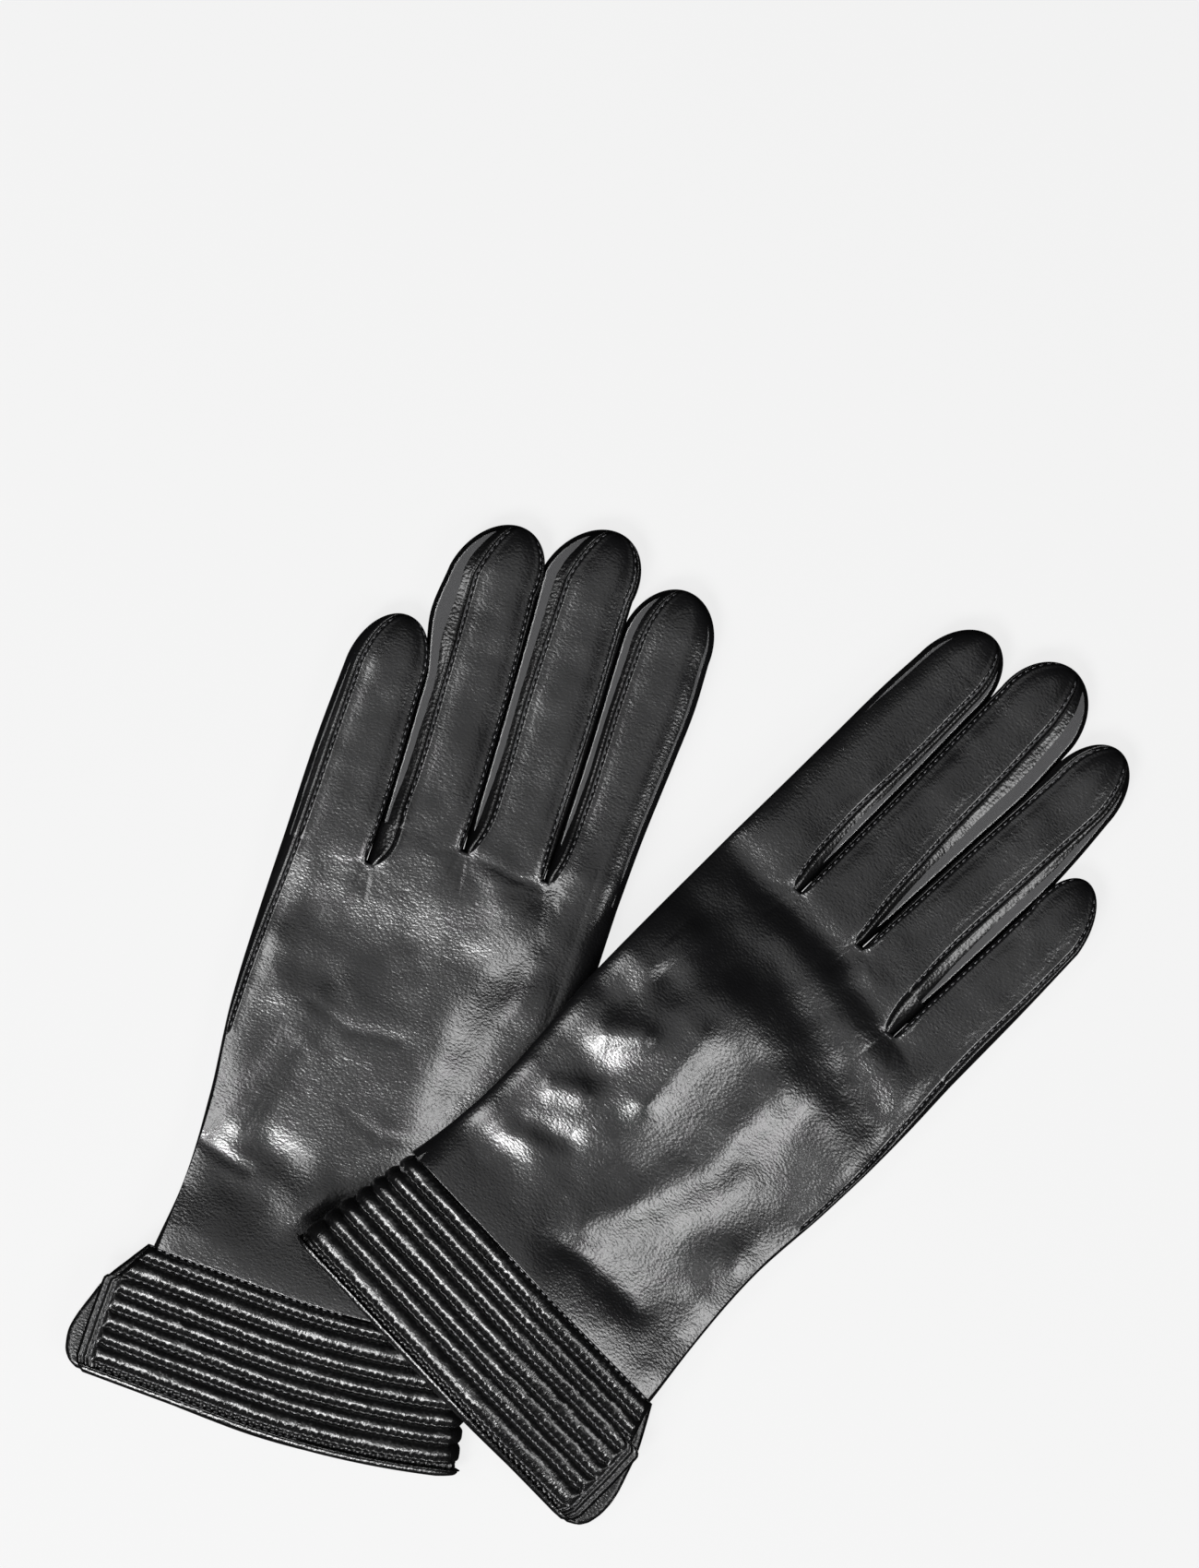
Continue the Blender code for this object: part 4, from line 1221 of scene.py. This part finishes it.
BLACK, DEEP_BLACK = (0.002, 0.002, 0.0022), (0.0014, 0.0014, 0.0015)
NAPPA = leather("Black nappa", BLACK, 0.27, 0.55, 0.5)
# The fourchettes' black is darker than the backs': painted shade for the walls between the fingers.
SHADE_PAINTED_FOURCHETTE = leather(
    "Black nappa, fourchettes", (0.0013, 0.0013, 0.0014), 0.26, 0.75, 0.3, 0.36, pebbles=1150.0
)
QUILTED = leather("Black nappa, quilted", DEEP_BLACK, 0.28, 0.6, 1.0, 0.4, wrinkles=(2.2, 0.7))
FACING = leather("Black facing leather", DEEP_BLACK, 0.3, 0.8, 0.8, 0.25)
EDGE = leather("Black turned edge", DEEP_BLACK, 0.27, 0.8, 0.8, 0.42)
# The thread is black; its colour is lightened to dark grey as painted sheen, so that its stitches
# show glints.
SHEEN_PAINTED_THREAD = thread("Black thread", (0.03, 0.03, 0.032))
KNIT = cloth("Black knit lining", (0.015, 0.015, 0.016), 900.0, 0.0002)
WADDING = cloth("Grey wadding", (0.32, 0.32, 0.31), 300.0, 0.0004)

# The material and the record's slot of each kind of piece, by a word in its name
FINISHES = {
    "trank": (NAPPA, "glove_leather"),
    "stall": (NAPPA, "glove_leather"),
    "fourchette": (SHADE_PAINTED_FOURCHETTE, "fourchette_leather"),
    "cuff_band": (QUILTED, "quilted_leather"),
    "cuff_wadding": (WADDING, "wadding"),
    "cuff_facing": (FACING, "facing_leather"),
    "hem_binding": (EDGE, "edge_leather"),
    "lining": (KNIT, "lining_knit"),
}


def finish_of(piece):
    """(material, slot) of a piece."""
    return next(value for key, value in FINISHES.items() if key in piece)


# ---------------------------------------------------------------- building


def attach(glove, piece, made):
    """Hides the piece's CAD part, and puts the piece on its body."""
    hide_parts(f"{glove.name}_{piece}")
    finish_of(piece)[1]
    follow(glove, piece.split("_")[0], made)


def follow(glove, part, made):
    """Puts an object on its body; a finger's object only has its placement baked into its mesh."""
    hand = f"{glove.name}_hand"
    if part in FINGERS:
        knuckle = joints[f"{glove.name}_{part}_knuckle"]["pos_m"]
        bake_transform(made)
        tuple(knuckle)
    elif part == "thumb":
        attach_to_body(made, f"{glove.name}_thumb")
    else:
        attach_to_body(made, hand)


def build_glove(glove):
    skins = Skins(glove)
    build_hand(glove, skins)
    build_forks(glove, skins)
    for finger in FINGERS:
        build_finger(glove, finger, skins)
    build_cuff(glove, skins)
    build_thumb(glove, skins)
    build_linings(glove, skins)
    for piece, made in skins.build().items():
        attach(glove, piece, made)
    for finger in FINGERS:
        sew_finger(glove, finger)
    sew_hand(glove)
    sew_cuff(glove)


for each in (LEFT, RIGHT):
    build_glove(each)


# ---------------------------------------------------------------- stage

VIEW_TARGET = (-0.0283, 0.0566, 0.010)
VIEW_TURN = math.radians(31.25)
VIEW_HEIGHT = 0.4126  # of the picture, at the gloves
LENS = 200.0
SENSOR = 36.0
FLOOR_SIZE = 12.0
FLOOR_BELOW = 0.0002  # so that it isn't in the same place as the undersides
FLOOR_SHADED = 0.035  # the part of the floor's white that takes shadows
FLOOR_GLOW = 0.81
AMBIENT = 0.012
WHITE = (1.0, 1.0, 1.0, 1.0)


def add_camera():
    """A long lens straight above the gloves."""
    data = bpy.data.cameras.new("Camera")
    data.sensor_width = SENSOR
    data.lens = LENS
    data.clip_end = 10.0
    camera = new_object("Camera", data)
    distance = VIEW_HEIGHT / SENSOR * LENS
    camera.location = Vector(VIEW_TARGET) + Vector((0, 0, distance))
    camera.rotation_euler = (0, 0, VIEW_TURN)
    bpy.context.scene.camera = camera


def add_floor():
    """A white table, evenly lit of itself, which lights and reflects nothing."""
    mesh = bpy.data.meshes.new("Floor")
    half = FLOOR_SIZE / 2
    corners = [(-half, -half, 0), (half, -half, 0), (half, half, 0), (-half, half, 0)]
    mesh.from_pydata(corners, [], [(0, 1, 2, 3)])
    mesh.materials.append(Look("Pale floor").finished({
        "Base Color": (FLOOR_SHADED, FLOOR_SHADED, FLOOR_SHADED, 1.0),
        "Roughness": 1.0,
        "Specular IOR Level": 0.0,
        "Emission Color": WHITE,
        "Emission Strength": FLOOR_GLOW,
    }))
    floor = new_object("Floor", mesh)
    floor.location.z = -FLOOR_BELOW
    floor.visible_glossy = False
    floor.visible_diffuse = False
    floor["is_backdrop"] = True


def image_direction(right, up):
    """A horizontal direction, given as right and up in the camera's picture."""
    c, s = math.cos(VIEW_TURN), math.sin(VIEW_TURN)
    return Vector((right * c - up * s, right * s + up * c, 0.0))


def add_softbox(name, right, up, tilt, distance, size, power):
    """A square lamp towards (right, up) in the picture, tilt degrees down from overhead."""
    data = bpy.data.lights.new(name, "AREA")
    data.shape = "SQUARE"
    data.size = size
    data.energy = power
    lamp = new_object(name, data)
    flat = image_direction(right, up).normalized() * math.sin(math.radians(tilt))
    direction = Vector((flat.x, flat.y, math.cos(math.radians(tilt))))
    lamp.location = direction * distance
    lamp.rotation_euler = direction.to_track_quat("Z", "Y").to_euler()


def add_world():
    """A faint even light from all round."""
    world = bpy.data.worlds.new("Studio")
    world.use_nodes = True
    background = world.node_tree.nodes["Background"]
    background.inputs["Color"].default_value = WHITE
    background.inputs["Strength"].default_value = AMBIENT
    bpy.context.scene.world = world


add_camera()
add_floor()
add_world()
add_softbox("Low softbox", -0.55, -0.83, 36.0, 1.6, 0.6, 58.0)
add_softbox("Right softbox", 0.75, -0.66, 46.0, 1.6, 0.6, 18.0)
add_softbox("Left softbox", -1.0, 0.05, 35.0, 1.6, 0.6, 17.0)
add_softbox("Overhead panel", 0.0, 1.0, 0.5, 3.2, 2.1, 11.5)
bpy.context.scene.view_settings.view_transform = "Standard"

corners = [[list(corner) for corner in box] for box in (cad_box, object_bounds())]
